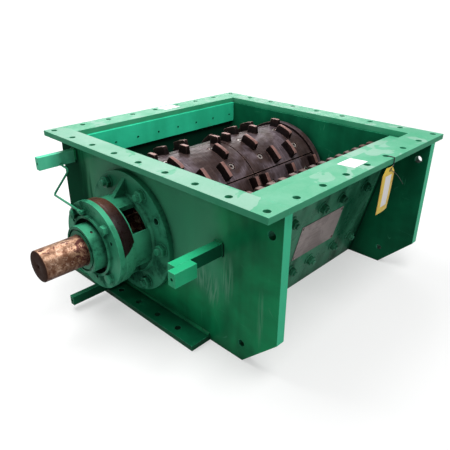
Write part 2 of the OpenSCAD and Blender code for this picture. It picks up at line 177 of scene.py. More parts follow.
class CrusherStage(bpy.types.PropertyGroup):
    floor: colour("Floor", "Colour of the floor", (0.46, 0.46, 0.46))
    glow: share("Floor glow", "How bright the floor looks to the camera besides its own light", 0.50)
    mirror: share("Mirrored room", "How much of the room's brightness glossy surfaces mirror", 0.35)
    key: bpy.props.FloatProperty(name="Overhead lamp", description="Power of the overhead lamp",
                                 default=50.0, min=0.0, unit="POWER")
    front: bpy.props.FloatProperty(name="Front lamp", description="Power of the lamp over the front",
                                   default=27.0, min=0.0, unit="POWER")
    sheen: bpy.props.FloatProperty(name="Back lamp", description="Power of the broad lamp behind",
                                   default=30.0, min=0.0, unit="POWER")
    fill: bpy.props.FloatProperty(name="Room light", description="Strength of the even room light",
                                  default=0.38, min=0.0)


# ---------------------------------------------------------------- meshes

def grid_faces(rows, columns, wrap_rows=False, wrap_columns=False):
    """Quads between neighbouring points of a grid that is stored row by row."""
    r0, c0 = np.meshgrid(np.arange(rows if wrap_rows else rows - 1),
                         np.arange(columns if wrap_columns else columns - 1), indexing="ij")
    r1, c1 = (r0 + 1) % rows, (c0 + 1) % columns
    corners = [r0 * columns + c0, r0 * columns + c1, r1 * columns + c1, r1 * columns + c0]
    return np.stack(corners, -1).reshape(-1, 4).tolist()


def tube(points, caps=True):
    """Closed surface from a grid of points, whose rows are loops. Each loop joins up, and the
    first and last loops are closed by a flat face."""
    rows, columns = points.shape[:2]
    faces = grid_faces(rows, columns, wrap_columns=True)
    if caps:
        faces += [list(range(columns)), list(range((rows - 1) * columns, rows * columns))]
    return points.reshape(-1, 3), faces


def ring(points):
    """Closed surface from a grid of points that joins up both ways, like a tyre."""
    rows, columns = points.shape[:2]
    return points.reshape(-1, 3), grid_faces(rows, columns, True, True)


def joined(shapes):
    """One list of points and one of faces from several shapes."""
    points, faces, start = [], [], 0
    for shape_points, shape_faces in shapes:
        points.append(shape_points)
        faces += [[start + i for i in face] for face in shape_faces]
        start += len(shape_points)
    return np.vstack(points), faces


def finish_mesh(mesh, angle=35.0):
    """Turns faces outwards, and shades smooth except over edges sharper than the angle."""
    bm = bmesh.new()
    bm.from_mesh(mesh)
    bmesh.ops.recalc_face_normals(bm, faces=bm.faces)
    bm.to_mesh(mesh)
    bm.free()
    mesh.polygons.foreach_set("use_smooth", np.ones(len(mesh.polygons), bool))
    mesh.set_sharp_from_angle(angle=math.radians(angle))


def new_object(name, data):
    """An object in the scene."""
    made = bpy.data.objects.new(name, data)
    bpy.context.scene.collection.objects.link(made)
    return made


def place(name, mesh, body, material, nodes=()):
    """Makes the object, gives it its finish and lets it ride on its body."""
    piece = new_object(name, mesh)
    mesh.materials.clear()
    mesh.materials.append(material)
    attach(piece, body)
    if nodes:
        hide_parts(*nodes)
    return piece


def add_piece(name, shapes, body, material, nodes=(), angle=35.0):
    """A new piece from one or more shapes, each a list of points and a list of faces."""
    points, faces = joined(shapes)
    mesh = bpy.data.meshes.new(name)
    mesh.from_pydata(points.tolist(), [], faces)
    finish_mesh(mesh, angle)
    return place(name, mesh, body, material, nodes)


def soften(piece, width, segments=2):
    """Rounds the piece's edges."""
    bevel = piece.modifiers.new("Rounded edges", "BEVEL")
    bevel.width = width
    bevel.segments = segments
    bevel.limit_method = "ANGLE"
    bevel.angle_limit = math.radians(40)
    bevel.harden_normals = True
    return piece


def from_cad(node, name, material, width, body=HOUSING):
    """A merged copy of a CAD node with rounded edges, which stands for that node."""
    mesh = frame["nodes"][node].data.copy()
    mesh.name = name
    if "custom_normal" in mesh.attributes:
        mesh.attributes.remove(mesh.attributes["custom_normal"])
    bm = bmesh.new()
    bm.from_mesh(mesh)
    bmesh.ops.remove_doubles(bm, verts=bm.verts, dist=2e-5)
    bmesh.ops.dissolve_limit(bm, angle_limit=math.radians(1), verts=bm.verts, edges=bm.edges)
    bm.to_mesh(mesh)
    bm.free()
    finish_mesh(mesh)
    return soften(place(name, mesh, body, material, [node]), width)


def bends(start, corner, end, steps):
    """A curve for each corner, from its start to its end, drawn in towards the corner."""
    t = np.linspace(0, 1, steps + 1)[None, :, None]
    return (1 - t) ** 2 * start[:, None] + 2 * t * (1 - t) * corner[:, None] + t ** 2 * end[:, None]


def rounded(corners, radius, steps=4):
    """Closed outline whose corners are rounded: each corner becomes a curve that starts and ends
    one radius along its two sides, or less on a short side."""
    p = np.asarray(corners, float)
    before, after = np.roll(p, 1, 0) - p, np.roll(p, -1, 0) - p
    reach_b = np.minimum(radius, np.linalg.norm(before, axis=1) * 0.45)[:, None]
    reach_a = np.minimum(radius, np.linalg.norm(after, axis=1) * 0.45)[:, None]
    start = p + before / np.linalg.norm(before, axis=1)[:, None] * reach_b
    end = p + after / np.linalg.norm(after, axis=1)[:, None] * reach_a
    return bends(start, p, end, steps).reshape(-1, 2)


def around(count):
    """Evenly spaced angles of one full turn."""
    return np.linspace(0, 2 * math.pi, count, endpoint=False)


def on_roll_axis(radius, y, angle):
    """Points at a radius and angle round the roll's axis: x = axis + r cos a, z = axis + r sin a."""
    radius, y, angle = np.broadcast_arrays(radius, y, angle)
    return np.stack([AXIS_X + radius * np.cos(angle), y, AXIS_Z + radius * np.sin(angle)], -1)


def turned_ring(corners, radius, count=128):
    """A closed outline of (y, r) corners, rounded and carried round the roll's axis."""
    outline = rounded(corners, radius)
    a = around(count)
    return ring(on_roll_axis(outline[:, 1:], outline[:, :1], a[None, :]))


def turned_bar(profile, count=96):
    """A profile of (y, r) points carried round the roll's axis, with its ends closed."""
    p = np.asarray(profile, float)
    a = around(count)
    return tube(on_roll_axis(p[:, 1:], p[:, :1], a[None, :]))


def frame_of(direction):
    """Three unit vectors: the direction, and two across it."""
    d = np.asarray(direction, float)
    d = d / np.linalg.norm(d)
    side = np.cross(d, [0.0, 0.0, 1.0] if abs(d[2]) < 0.9 else [1.0, 0.0, 0.0])
    side /= np.linalg.norm(side)
    return d, side, np.cross(d, side)


def stacked(centre, direction, heights, radii, turn=0.0):
    """Loops round a line: the point at angle a of a loop is centre + height along the line
    + radius across it. Heights and radii are grids of loops by angles."""
    d, u, v = frame_of(direction)
    heights, radii = np.broadcast_arrays(heights, radii)
    a = around(radii.shape[1])[None, :, None] + turn
    across = (u * np.cos(a) + v * np.sin(a)) * radii[..., None]
    return tube(np.asarray(centre, float) + d * heights[..., None] + across)


def round_pin(centre, direction, heights, radii, sides=20):
    """Circles round a line, one for each height along it and its radius."""
    radii = np.asarray(radii)[:, None] + np.zeros((1, sides))
    return stacked(centre, direction, np.asarray(heights)[:, None], radii)


def hexagon(across_flats, angles):
    """Radius of a hexagon at each angle: half the flats over the cosine to the nearest flat."""
    return across_flats / 2 / np.cos((angles + math.pi / 6) % (math.pi / 3) - math.pi / 6)


def hex_head(centre, direction, across_flats, height, turn=0.0, hole_r=0.0):
    """A hexagon whose top corners are cut by a 30 degree cone, as on a turned nut."""
    a = around(48)
    flat = hexagon(across_flats, a)
    cone = np.full_like(a, across_flats * 0.475)
    drop = (flat - cone) * math.tan(math.radians(30))
    top = max(hole_r, across_flats * 0.02)
    radii = np.stack([flat * 0.985, flat, flat, cone, np.full_like(a, top)])
    level = np.full_like(a, height)
    heights = np.stack([a * 0, a * 0 + 0.0004, level - drop, level, level])
    return stacked(centre, direction, heights, radii, turn)


def washer(centre, direction, radius, thickness):
    """A flat disc with rounded edges."""
    e = thickness * 0.3
    return round_pin(centre, direction, [0, e, thickness - e, thickness, thickness],
                     [radius - e, radius, radius, radius - e, radius * 0.2], 40)


def thread(centre, direction, start, end, radius, pitch=0.0020):
    """A threaded end: the radius dips by a third of the pitch between turns, and the tip is
    chamfered."""
    count = int((end - start) / pitch) * 2
    h = np.linspace(start, end, count)
    r = radius - 0.34 * pitch * (np.arange(count) % 2)
    return round_pin(centre, direction, np.append(h, end + 0.0002), np.append(r, radius * 0.72), 24)


def smooth_path(corners, reach, steps=8):
    """An open path whose bends are curves that start and end at a reach from each corner."""
    p = np.asarray(corners, float)
    before, after = p[:-2] - p[1:-1], p[2:] - p[1:-1]
    lb, la = np.linalg.norm(before, axis=1)[:, None], np.linalg.norm(after, axis=1)[:, None]
    start = p[1:-1] + before / lb * np.minimum(reach, lb * 0.45)
    end = p[1:-1] + after / la * np.minimum(reach, la * 0.45)
    return np.vstack([p[:1], bends(start, p[1:-1], end, steps).reshape(-1, 3), p[-1:]])


def pipe(path, radius, sides=16, up=(0.31, 0.17, 0.93)):
    """A circle carried along a path. At each point it lies across the path, turned to a fixed
    direction that the path never follows."""
    path = np.asarray(path, float)
    along = np.gradient(path, axis=0)
    along /= np.linalg.norm(along, axis=1)[:, None]
    side = np.cross(along, np.asarray(up, float))
    side /= np.linalg.norm(side, axis=1)[:, None]
    over = np.cross(along, side)
    a = around(sides)[None, :, None]
    radius = np.broadcast_to(radius, len(path))[:, None, None]
    return tube(path[:, None] + radius * (side[:, None] * np.cos(a) + over[:, None] * np.sin(a)))


def ripple(distance, seed):
    """Uneven swelling of a hand-laid weld: a wave for each deposit and two slower waves."""
    return (1 + 0.10 * np.abs(np.sin(distance * math.pi / 0.0052 + seed))
            + 0.08 * np.sin(distance * 61 + seed * 2.1) + 0.05 * np.sin(distance * 149 + seed))


def bead(path, side_a, side_b, leg, seed=0.0, closed=False):
    """A weld in a corner: a bulging triangle with its legs on the two sides, carried along the
    corner, and swelling and shrinking with each deposit."""
    path = np.asarray(path, float)
    side_a = np.broadcast_to(np.asarray(side_a, float), path.shape)
    side_b = np.broadcast_to(np.asarray(side_b, float), path.shape)
    steps = np.linalg.norm(np.diff(path, axis=0), axis=1)
    distance = np.concatenate([[0], np.cumsum(steps)])
    size = leg * ripple(distance, seed)
    section = np.array([[-0.15, -0.15], [1.0, -0.15], [0.86, 0.22], [0.60, 0.60],
                        [0.22, 0.86], [-0.15, 1.0]])
    points = (path[:, None] + size[:, None, None]
              * (side_a[:, None] * section[None, :, :1] + side_b[:, None] * section[None, :, 1:]))
    return ring(points) if closed else tube(points)


def straight(start, end, step=0.0026):
    """Evenly spaced points on a line."""
    start, end = np.asarray(start, float), np.asarray(end, float)
    count = max(3, int(np.linalg.norm(end - start) / step))
    return start + (end - start) * np.linspace(0, 1, count)[:, None]


# ---------------------------------------------------------------- materials

def feed(tree, socket, value):
    """Links a socket to an input, or sets the input's own value."""
    if isinstance(value, bpy.types.NodeSocket):
        tree.links.new(value, socket)
    else:
        socket.default_value = value


def put(tree, kind, settings=None, values=(), **inputs):
    """Adds a node. Inputs are numbers, colours or sockets, given by name or in order."""
    node = tree.nodes.new("ShaderNode" + kind)
    for key, value in (settings or {}).items():
        setattr(node, key, value)
    named = [(key.replace("_", " "), value) for key, value in inputs.items()]
    for key, value in list(enumerate(values)) + named:
        if value is not None:
            feed(tree, node.inputs[key], value)
    return node


def calc(tree, operation, *values, clamp=False):
    """Adds a maths node, and returns its result."""
    return put(tree, "Math", {"operation": operation, "use_clamp": clamp}, values).outputs[0]


def times(tree, first, second, clamp=False):
    """The product of two values."""
    return calc(tree, "MULTIPLY", first, second, clamp=clamp)


def plus(tree, first, second):
    """The sum of two values."""
    return calc(tree, "ADD", first, second)


def swing(tree, height, amount):
    """A noise's height as a swing about zero."""
    return times(tree, calc(tree, "SUBTRACT", height, 0.5), amount)


def vector_calc(tree, operation, *values):
    """Adds a vector maths node, and returns its result, which is a number for a length or a dot
    product and a vector for the others."""
    outputs = put(tree, "VectorMath", {"operation": operation}, values).outputs
    return outputs["Value" if operation in ("LENGTH", "DOT_PRODUCT") else "Vector"]


def blend(tree, amount, first, second, kind="MIX"):
    """Mixes two colours by an amount."""
    node = tree.nodes.new("ShaderNodeMix")
    node.data_type = "RGBA"
    node.blend_type = kind
    for index, value in ((0, amount), (6, first), (7, second)):
        if index and not isinstance(value, bpy.types.NodeSocket):
            value = (*value, 1.0)
        feed(tree, node.inputs[index], value)
    return node.outputs[2]


def level(tree, value, start, end, out_start=0.0, out_end=1.0):
    """Maps a value's range to another, with soft ends."""
    node = put(tree, "MapRange", {"interpolation_type": "SMOOTHSTEP"}, Value=value)
    for key, number in zip(("From Min", "From Max", "To Min", "To Max"),
                           (start, end, out_start, out_end)):
        node.inputs[key].default_value = number
    return node.outputs[0]


def noise(tree, vector, scale, detail=4.0, rough=0.55, distortion=0.0):
    """Adds a noise, and returns its height from 0 to 1."""
    return put(tree, "TexNoise", Vector=vector, Scale=scale, Detail=detail, Roughness=rough,
               Distortion=distortion).outputs[0]


def stretched(tree, vector, scale, rotation=(0.0, 0.0, 0.0), location=(0.0, 0.0, 0.0)):
    """Coordinates drawn out along an axis, so that a noise on them makes streaks."""
    return put(tree, "Mapping", Vector=vector, Scale=scale, Rotation=rotation,
               Location=location).outputs[0]


def parts_of(tree, vector):
    """The coordinates x, y and z."""
    return list(put(tree, "SeparateXYZ", values=(vector,)).outputs)


def facing(tree, axis):
    """How far the surface faces along an axis: 1 when it looks straight along it."""
    return parts_of(tree, put(tree, "NewGeometry").outputs["Normal"])[axis]


def group(name, inputs, outputs, build):
    """Makes a shader node group once. Each socket is (name, kind, default)."""
    if name in bpy.data.node_groups:
        return bpy.data.node_groups[name]
    tree = bpy.data.node_groups.new(name, "ShaderNodeTree")
    for socket, kind, default in inputs:
        made = tree.interface.new_socket(socket, in_out="INPUT", socket_type="NodeSocket" + kind)
        if default is not None:
            made.default_value = default
    for socket, kind in outputs:
        tree.interface.new_socket(socket, in_out="OUTPUT", socket_type="NodeSocket" + kind)
    start, end = tree.nodes.new("NodeGroupInput"), tree.nodes.new("NodeGroupOutput")
    build(tree, {s.name: s for s in start.outputs if s.name}, end)
    return tree


def use(tree, made, **inputs):
    """Places a group with its own values, and returns its outputs by name."""
    node = tree.nodes.new("ShaderNodeGroup")
    node.node_tree = made
    for key, value in inputs.items():
        feed(tree, node.inputs[key.replace("_", " ")], value)
    return {s.name: s for s in node.outputs}


def edge_wear_and_highlight():
    """Mask of convex edges, broken up by noise."""
    def build(t, i, end):
        smooth = put(t, "Bevel", {"samples": 4}, Radius=i["Width"]).outputs[0]
        flat = put(t, "NewGeometry").outputs["Normal"]
        near = vector_calc(t, "DOT_PRODUCT", smooth, flat)
        turn = calc(t, "SUBTRACT", 1.0, near)
        broken = noise(t, i["Vector"], i["Scale"], 5.0, 0.65)
        mask = times(t, level(t, turn, 0.012, 0.160), level(t, broken, 0.36, 0.58))
        t.links.new(times(t, mask, i["Amount"], clamp=True), end.inputs["Mask"])
    return group("Edge wear and highlight", [("Vector", "Vector", None), ("Width", "Float", 0.003),
                               ("Scale", "Float", 60.0), ("Amount", "Float", 1.0)],
                 [("Mask", "Float")], build)


def corner_dirt_and_shade():
    """Mask of corners and crevices, where dirt settles."""
    def build(t, i, end):
        open_sky = put(t, "AmbientOcclusion", {"samples": 5}, Distance=i["Distance"]).outputs["AO"]
        uneven = level(t, noise(t, i["Vector"], i["Scale"], 4.0), 0.30, 0.70, 0.55, 1.0)
        mask = times(t, level(t, open_sky, 0.30, 0.95, 1.0, 0.0), uneven)
        t.links.new(times(t, mask, i["Amount"], clamp=True), end.inputs["Mask"])
    return group("Corner dirt and shade", [("Vector", "Vector", None), ("Distance", "Float", 0.04),
                                 ("Scale", "Float", 22.0), ("Amount", "Float", 1.0)],
                 [("Mask", "Float")], build)


def settled_dust_and_sheen():
    """Mask of upward faces with a film of dust that has been wiped away in sharp patches. Cover
    moves the line between dusty and wiped: more of it leaves more dust."""
    def build(t, i, end):
        wide = noise(t, i["Vector"], i["Scale"], 4.0, 0.55, 0.9)
        fine = noise(t, i["Vector"], 130.0, 4.0, 0.7)
        here = plus(t, wide, i["Cover"])
        film = level(t, here, 0.485, 0.520, 0.18, 0.74)
        patch = plus(t, film, swing(t, fine, 0.30))
        cloud = level(t, noise(t, i["Vector"], 6.0, 3.0), 0.30, 0.70, 0.70, 1.0)
        # Only upward faces take the pale film, which stands partly for painted sheen.
        mask = times(t, level(t, facing(t, 2), 0.55, 0.95), times(t, patch, cloud))
        t.links.new(times(t, mask, i["Amount"], clamp=True), end.inputs["Mask"])
    return group("Settled dust and sheen", [("Vector", "Vector", None), ("Scale", "Float", 11.0),
                                  ("Cover", "Float", 0.0), ("Amount", "Float", 1.0)],
                 [("Mask", "Float")], build)


def rust_spots():
    """Mask of rust that starts in spots and joins into blotches, and a finer grain."""
    def build(t, i, end):
        blotch = noise(t, i["Vector"], i["Scale"], 6.0, 0.62, 0.6)
        grain = noise(t, i["Vector"], times(t, i["Scale"], 7.0), 4.0, 0.7)
        both = plus(t, blotch, swing(t, grain, 0.30))
        t.links.new(level(t, both, 0.46, 0.60), end.inputs["Mask"])
        t.links.new(grain, end.inputs["Grain"])
    return group("Rust spots", [("Vector", "Vector", None), ("Scale", "Float", 24.0)],
                 [("Mask", "Float"), ("Grain", "Float")], build)


def scratches():
    """Mask of long thin scratches: the level lines of two slow, drawn-out noises, broken up."""
    def build(t, i, end):
        found = None
        for scale, turn in (((4.0, 4.0, 15.0), 0.35), ((15.0, 15.0, 3.5), -0.5)):
            slow = noise(t, stretched(t, i["Vector"], scale, (0.0, turn, turn)), 1.0, 1.0, 0.4)
            near = calc(t, "ABSOLUTE", calc(t, "SUBTRACT", slow, 0.5))
            line = level(t, near, 0.0, 0.0065, 1.0, 0.0)
            found = line if found is None else calc(t, "MAXIMUM", found, line)
        some = level(t, noise(t, i["Vector"], 19.0, 3.0), 0.54, 0.66)
        mask = times(t, times(t, found, some), i["Amount"], clamp=True)
        t.links.new(mask, end.inputs["Mask"])
    return group("Scratches", [("Vector", "Vector", None), ("Amount", "Float", 0.5)],
                 [("Mask", "Float")], build)


def start_material(name):
    """A material with a Principled shader, and its tree, shader and Object coordinates."""
    material = bpy.data.materials.new(name)
    material.use_nodes = True
    tree = material.node_tree
    shader = tree.nodes["Principled BSDF"]
    return material, tree, shader, put(tree, "TexCoord").outputs["Object"]


def bump(tree, shader, height, strength, distance=0.001):
    """Gives the shader a relief from a height."""
    node = put(tree, "Bump", Height=height, Strength=strength, Distance=distance)
    tree.links.new(node.outputs[0], shader.inputs["Normal"])


def scuff_mask(t, at, marks):
    """Mask of brushed marks. Each is an oval: centre, half sizes, lean and strength."""
    total = None
    for centre, size, lean, strength in marks:
        spot = stretched(t, vector_calc(t, "SUBTRACT", at, centre), tuple(1.0 / s for s in size),
                         (0.0, lean, 0.0))
        away = vector_calc(t, "LENGTH", spot)
        brush = noise(t, stretched(t, spot, (3.2, 1.0, 0.5)), 1.7, 3.0, 0.55, 0.4)
        mark = times(t, level(t, away, 0.30, 1.0, 1.0, 0.0), level(t, brush, 0.42, 0.64))
        mark = times(t, mark, strength)
        total = mark if total is None else calc(t, "MAXIMUM", total, mark)
    return total


# Colours and shine that every enamel shares
SCUFFED = (0.170, 0.400, 0.275)
# The worn edge colour is lighter paint that stands partly for wear and partly for painted highlight.
WORN_EDGE_AND_HIGHLIGHT = (0.080, 0.520, 0.300)
# The dark colour laid in corners is dirt and painted shade.
DIRT_AND_SHADE = (0.003, 0.016, 0.010)
# This dull dark colour is soiling and painted shade.
GRIME_AND_SHADE = (0.003, 0.024, 0.014)
SHINE = 0.06


def enamel(name, base, deep, gloss, wear=0.5, dirt=0.7, streak=0.35, dust=None, chalk=None,
           scuffs=(), strips=None, grime=None, reach=0.04):
    """Sprayed enamel: uneven depth of colour, faint runs, dirt in corners, fresh-looking thick
    paint on edges, and scratches. Dust, chalk, strips and grime are functions that give how much
    of the surface is dusty, chalky, freshly painted or dirty. Grime is matt. Reach is how far
    from a corner its dirt goes."""
    p = bpy.context.scene.crusher_paint
    material, t, shader, at = start_material(name)
    cloud = noise(t, at, 5.5, 4.0, 0.55, 0.4)
    runs = noise(t, stretched(t, at, (16.0, 16.0, 1.6), (0.0, 0.10, 0.0)), 1.0, 3.0, 0.5)
    tone = plus(t, times(t, cloud, 1.0 - streak), times(t, runs, streak))
    colour_now = blend(t, level(t, tone, 0.36, 0.66), deep, base)
    # The chalky mix on the drive end plate is partly weathering and partly a painted light gradient.
    if chalk:
        colour_now = blend(t, chalk(t, at), colour_now, p.chalky)
    if scuffs:
        colour_now = blend(t, scuff_mask(t, at, scuffs), colour_now, SCUFFED)
    # Bands of painted highlight on faces that look along +X.
    if strips:
        colour_now = blend(t, strips(t, at), colour_now, p.edge_highlight)
    rough = level(t, noise(t, at, 31.0, 4.0), 0.30, 0.70, gloss - 0.06, gloss + 0.10)
    # The pale film on upward faces is dust and painted sheen.
    if dust:
        film = use(t, settled_dust_and_sheen(), Vector=at, Cover=dust(t, at))["Mask"]
        colour_now = blend(t, film, colour_now, p.pale)
        rough = plus(t, rough, times(t, film, 0.22))
    rubbed = use(t, scratches(), Vector=at, Amount=0.45)["Mask"]
    colour_now = blend(t, rubbed, colour_now, p.chalky)
    # Lighter edges: worn paint and painted highlight.
    worn_and_lit_edges = use(t, edge_wear_and_highlight(), Vector=at, Amount=wear)["Mask"]
    colour_now = blend(t, worn_and_lit_edges, colour_now, WORN_EDGE_AND_HIGHLIGHT)
    # Dark corners and crevices: dirt and painted shade.
    dirt_and_shade_mask = use(t, corner_dirt_and_shade(), Vector=at, Amount=dirt, Distance=reach)["Mask"]
    colour_now = blend(t, dirt_and_shade_mask, colour_now, DIRT_AND_SHADE)
    shader.inputs["Specular IOR Level"].default_value = SHINE
    # Soiling and painted shade, dull and without shine.
    if grime:
        soil_and_shade_mask = grime(t, at)
        colour_now = blend(t, soil_and_shade_mask, colour_now, GRIME_AND_SHADE)
        rough = plus(t, rough, times(t, soil_and_shade_mask, 0.35))
        t.links.new(level(t, soil_and_shade_mask, 0.0, 0.8, SHINE, 0.0), shader.inputs["Specular IOR Level"])
    t.links.new(colour_now, shader.inputs["Base Color"])
    t.links.new(rough, shader.inputs["Roughness"])
    shader.inputs["Coat Weight"].default_value = 0.02
    shader.inputs["Coat Roughness"].default_value = 0.15
    orange_peel = plus(t, times(t, noise(t, at, 420.0, 2.0), 0.25), noise(t, at, 38.0, 3.0))
    bump(t, shader, orange_peel, 0.20, 0.0010)
    return material


def rusty(name, base, rust, dark, scale, roughness, metallic=0.0, brushed=None, dirt=0.7,
          edge=None, edge_wear_and_highlight_amount=0.8, relief=0.35, reach=0.045):
    """Bare iron or steel with blotches of rust, dirt in corners, and edges of another colour.
    Brushed gives the stretch of a fine grain left by rubbing or turning, and reach is how far
    from a corner its dirt goes."""
    material, t, shader, at = start_material(name)
    spots = use(t, rust_spots(), Vector=at, Scale=scale)
    colour_now = blend(t, spots["Mask"], base, rust)
    cloud = level(t, noise(t, at, scale * 0.32, 3.0), 0.35, 0.68)
    colour_now = blend(t, times(t, cloud, 0.45), colour_now, dark)
    height = times(t, spots["Grain"], 0.8)
    if brushed:
        lines = noise(t, stretched(t, at, brushed), 1.0, 3.0, 0.6)
        colour_now = blend(t, level(t, lines, 0.40, 0.75, 0.0, 0.30), colour_now,
                           tuple(min(1.0, c * 1.7) for c in base))
        height = plus(t, height, times(t, lines, 0.6))
    # Lighter edges, laid by the mask of edge wear and highlight.
    if edge:
        worn = use(t, edge_wear_and_highlight(), Vector=at, Amount=edge_wear_and_highlight_amount, Width=0.004)["Mask"]
        colour_now = blend(t, worn, colour_now, edge)
    # Dark corners and crevices: dirt and painted shade.
    dirt_and_shade_mask = use(t, corner_dirt_and_shade(), Vector=at, Amount=dirt, Distance=reach)["Mask"]
    colour_now = blend(t, dirt_and_shade_mask, colour_now, dark)
    t.links.new(colour_now, shader.inputs["Base Color"])
    t.links.new(level(t, spots["Mask"], 0.0, 1.0, roughness, min(0.95, roughness + 0.22)),
                shader.inputs["Roughness"])
    shader.inputs["Metallic"].default_value = metallic
    bump(t, shader, height, relief, 0.0009)
    return material


def material_once(name, build, *args, **values):
    """The finish of that name, made the first time that it is asked for."""
    return bpy.data.materials.get(name) or build(name, *args, **values)


def made_once(name):
    """Names the material that a function builds, and lets it be built only once."""
    def once(build):
        def finish():
            return material_once(name, build)
        finish.__doc__ = build.__doc__
        return finish
    return once


def flange_cover(t, at):
    """Dust lies thick along the drive end's bar, and thin on the others. A strip that slants
    across the corner is wiped."""
    x, y, _ = parts_of(t, at)
    bar = level(t, y, -INNER_Y, -INNER_Y - 0.020, -0.045, 0.13)
    way = plus(t, x, times(t, y, 0.4))
    wiped = level(t, way, 0.290, 0.306, 0.0, -0.26)
    again = level(t, way, 0.352, 0.372, 0.0, 0.25)
    return plus(t, plus(t, bar, wiped), again)


def front_edge_highlight(t, at):
    """Faces that look along +X, near the front."""
    near = level(t, parts_of(t, at)[0], BASE_X + 0.06, BASE_X + 0.07)
    return times(t, times(t, level(t, facing(t, 0), 0.60, 0.90), near), 0.85)


def plate_chalk_and_light(t, at):
    """The drive end plate is chalky from the disc to the side bar, and fades to its foot."""
    x, _, z = parts_of(t, at)
    wander = swing(t, noise(t, at, 5.0, 3.0), 0.16)
    # Chalky and lighter left of the side bar, above the foot and less at the far left: weathering and a
    # painted light gradient.
    side = level(t, plus(t, x, wander), 0.305, 0.395, 0.80, 0.0)
    low_end = level(t, plus(t, z, wander), 0.10, 0.24)
    back = level(t, plus(t, x, wander), -0.26, -0.13, 0.15, 1.0)
    return times(t, times(t, side, low_end), back)


def plate_grime(t, at):
    """Grime in upright runs on the drive end plate, behind the bearing and below the flange."""
    x, _, z = parts_of(t, at)
    runs = noise(t, stretched(t, at, (22.0, 22.0, 2.6)), 1.0, 3.0, 0.55)
    wander = swing(t, runs, 0.20)
    # Painted shadow with soiling: a band at the plate's left side and one below the flange, stronger to
    # the left.
    side = level(t, plus(t, x, wander), -0.265, -0.205, 0.90, 0.0)
    under = level(t, plus(t, z, times(t, wander, 0.4)), 0.372, 0.418, 0.0, 0.62)
    left = level(t, x, -0.02, 0.16, 1.0, 0.35)
    return calc(t, "MAXIMUM", side, times(t, under, left))


def liner_grime(t, at):
    """The back wall's inner face is black with dirt below the deflector."""
    edge = low("deflector").z
    # Below the deflector's edge, faces that look along +X are painted black as shadow.
    lower = level(t, parts_of(t, at)[2], edge - 0.002, edge + 0.001, 0.97, 0.0)
    return times(t, lower, level(t, facing(t, 0), 0.3, 0.7))


def casting_grime(t, at):
    """Dark stains in blotches on the castings, more of them below the roll's axis."""
    blotch = noise(t, at, 13.0, 5.0, 0.70, 0.2)
    # More darkening below the roll's axis stands for painted shade.
    lower = level(t, parts_of(t, at)[2], AXIS_Z - 0.11, AXIS_Z + 0.03, 0.075, 0.0)
    return level(t, plus(t, blotch, lower), 0.500, 0.720, 0.0, 0.75)


def wall_paint():
    """Plain body enamel of the back wall and the welds."""
    p = bpy.context.scene.crusher_paint
    return material_once("wall enamel", enamel, p.body, p.deep, p.gloss, dirt=0.8, grime=liner_grime)


def shaded_paint():
    """Deep enamel of the walls that slope in below the flange, with grime in runs."""
    p = bpy.context.scene.crusher_paint
    # The strong runs stand partly for painted streaks of reflection.
    return material_once("shaded wall enamel", enamel, (0.075, 0.320, 0.190), (0.009, 0.095, 0.048),
                         p.gloss - 0.04, wear=0.3, dirt=0.35, streak=0.7)


def far_plate_shaded_paint():
    """Dark enamel of the far end plate, the base bars and the lower guard bar."""
    p = bpy.context.scene.crusher_paint
    return material_once("far plate enamel with painted shade", enamel, (0.006, 0.160, 0.070), (0.003, 0.080, 0.036),
                         p.gloss, dirt=0.8, strips=front_edge_highlight)


def flange_paint():
    """Pale enamel under dust, on the flange and its rail."""
    p = bpy.context.scene.crusher_paint
    return material_once("flange enamel", enamel, p.top, (0.032, 0.285, 0.145), p.gloss + 0.04, wear=0.55,
                         dirt=0.3, dust=flange_cover)


def lit_liner_paint():
    """Bright enamel of the deflector inside the inlet."""
    p = bpy.context.scene.crusher_paint
    return material_once("inside enamel with painted light", enamel, p.lit_liner, (0.022, 0.480, 0.255), p.gloss + 0.08, wear=0.3,
                         dirt=0.5, grime=liner_grime)


def fitting_paint():
    """Stained enamel of the castings, collars, nuts and grease pipe."""
    p = bpy.context.scene.crusher_paint
    return material_once("casting enamel", enamel, p.fitting, (0.020, 0.195, 0.100), p.gloss,
                         wear=0.9, dirt=0.95, streak=0.15, grime=casting_grime, reach=0.038)


def drive_plate_paint():
    """Wall enamel that has gone chalky beside the disc, with pale upright scuffs by the side bar."""
    p = bpy.context.scene.crusher_paint
    y = -PLATE_Y
    scuffs = [((0.262, y, 0.182), (0.030, 0.06, 0.050), 0.10, 0.60),
              ((0.302, y, 0.160), (0.032, 0.06, 0.062), -0.30, 0.60),
              ((0.352, y, 0.215), (0.026, 0.06, 0.085), -0.12, 0.50),
              ((0.455, y, 0.150), (0.012, 0.06, 0.100), 0.00, 0.40)]
    return material_once("drive plate enamel", enamel, p.body, p.deep, p.gloss, dirt=0.85,
                         chalk=plate_chalk_and_light, scuffs=scuffs, strips=front_edge_highlight, grime=plate_grime)


def bar_grime(t, at):
    """The side bar's face that looks along +X is black with dirt behind the block."""
    # Behind the block, faces that look along +X are painted dark as shadow.
    behind = level(t, parts_of(t, at)[1], high("guard_block").y, high("guard_block").y + 0.004)
    return times(t, times(t, behind, level(t, facing(t, 0), 0.3, 0.7)), 0.80)


def bright_paint():
    """Thick enamel of the side guard bar and its block."""
    p = bpy.context.scene.crusher_paint
    return material_once("guard bar enamel", enamel, (0.026, 0.460, 0.215), (0.020, 0.360, 0.165),
                         p.gloss - 0.04, wear=0.8, dirt=0.6, grime=bar_grime)


def upper_bar_lit_paint():
    """Pale, thick enamel of the upper guard bar."""
    p = bpy.context.scene.crusher_paint
    return material_once("upper bar enamel with painted light", enamel, (0.170, 0.780, 0.500), (0.080, 0.560, 0.330),
                         p.gloss - 0.04, wear=0.8, dirt=0.5)


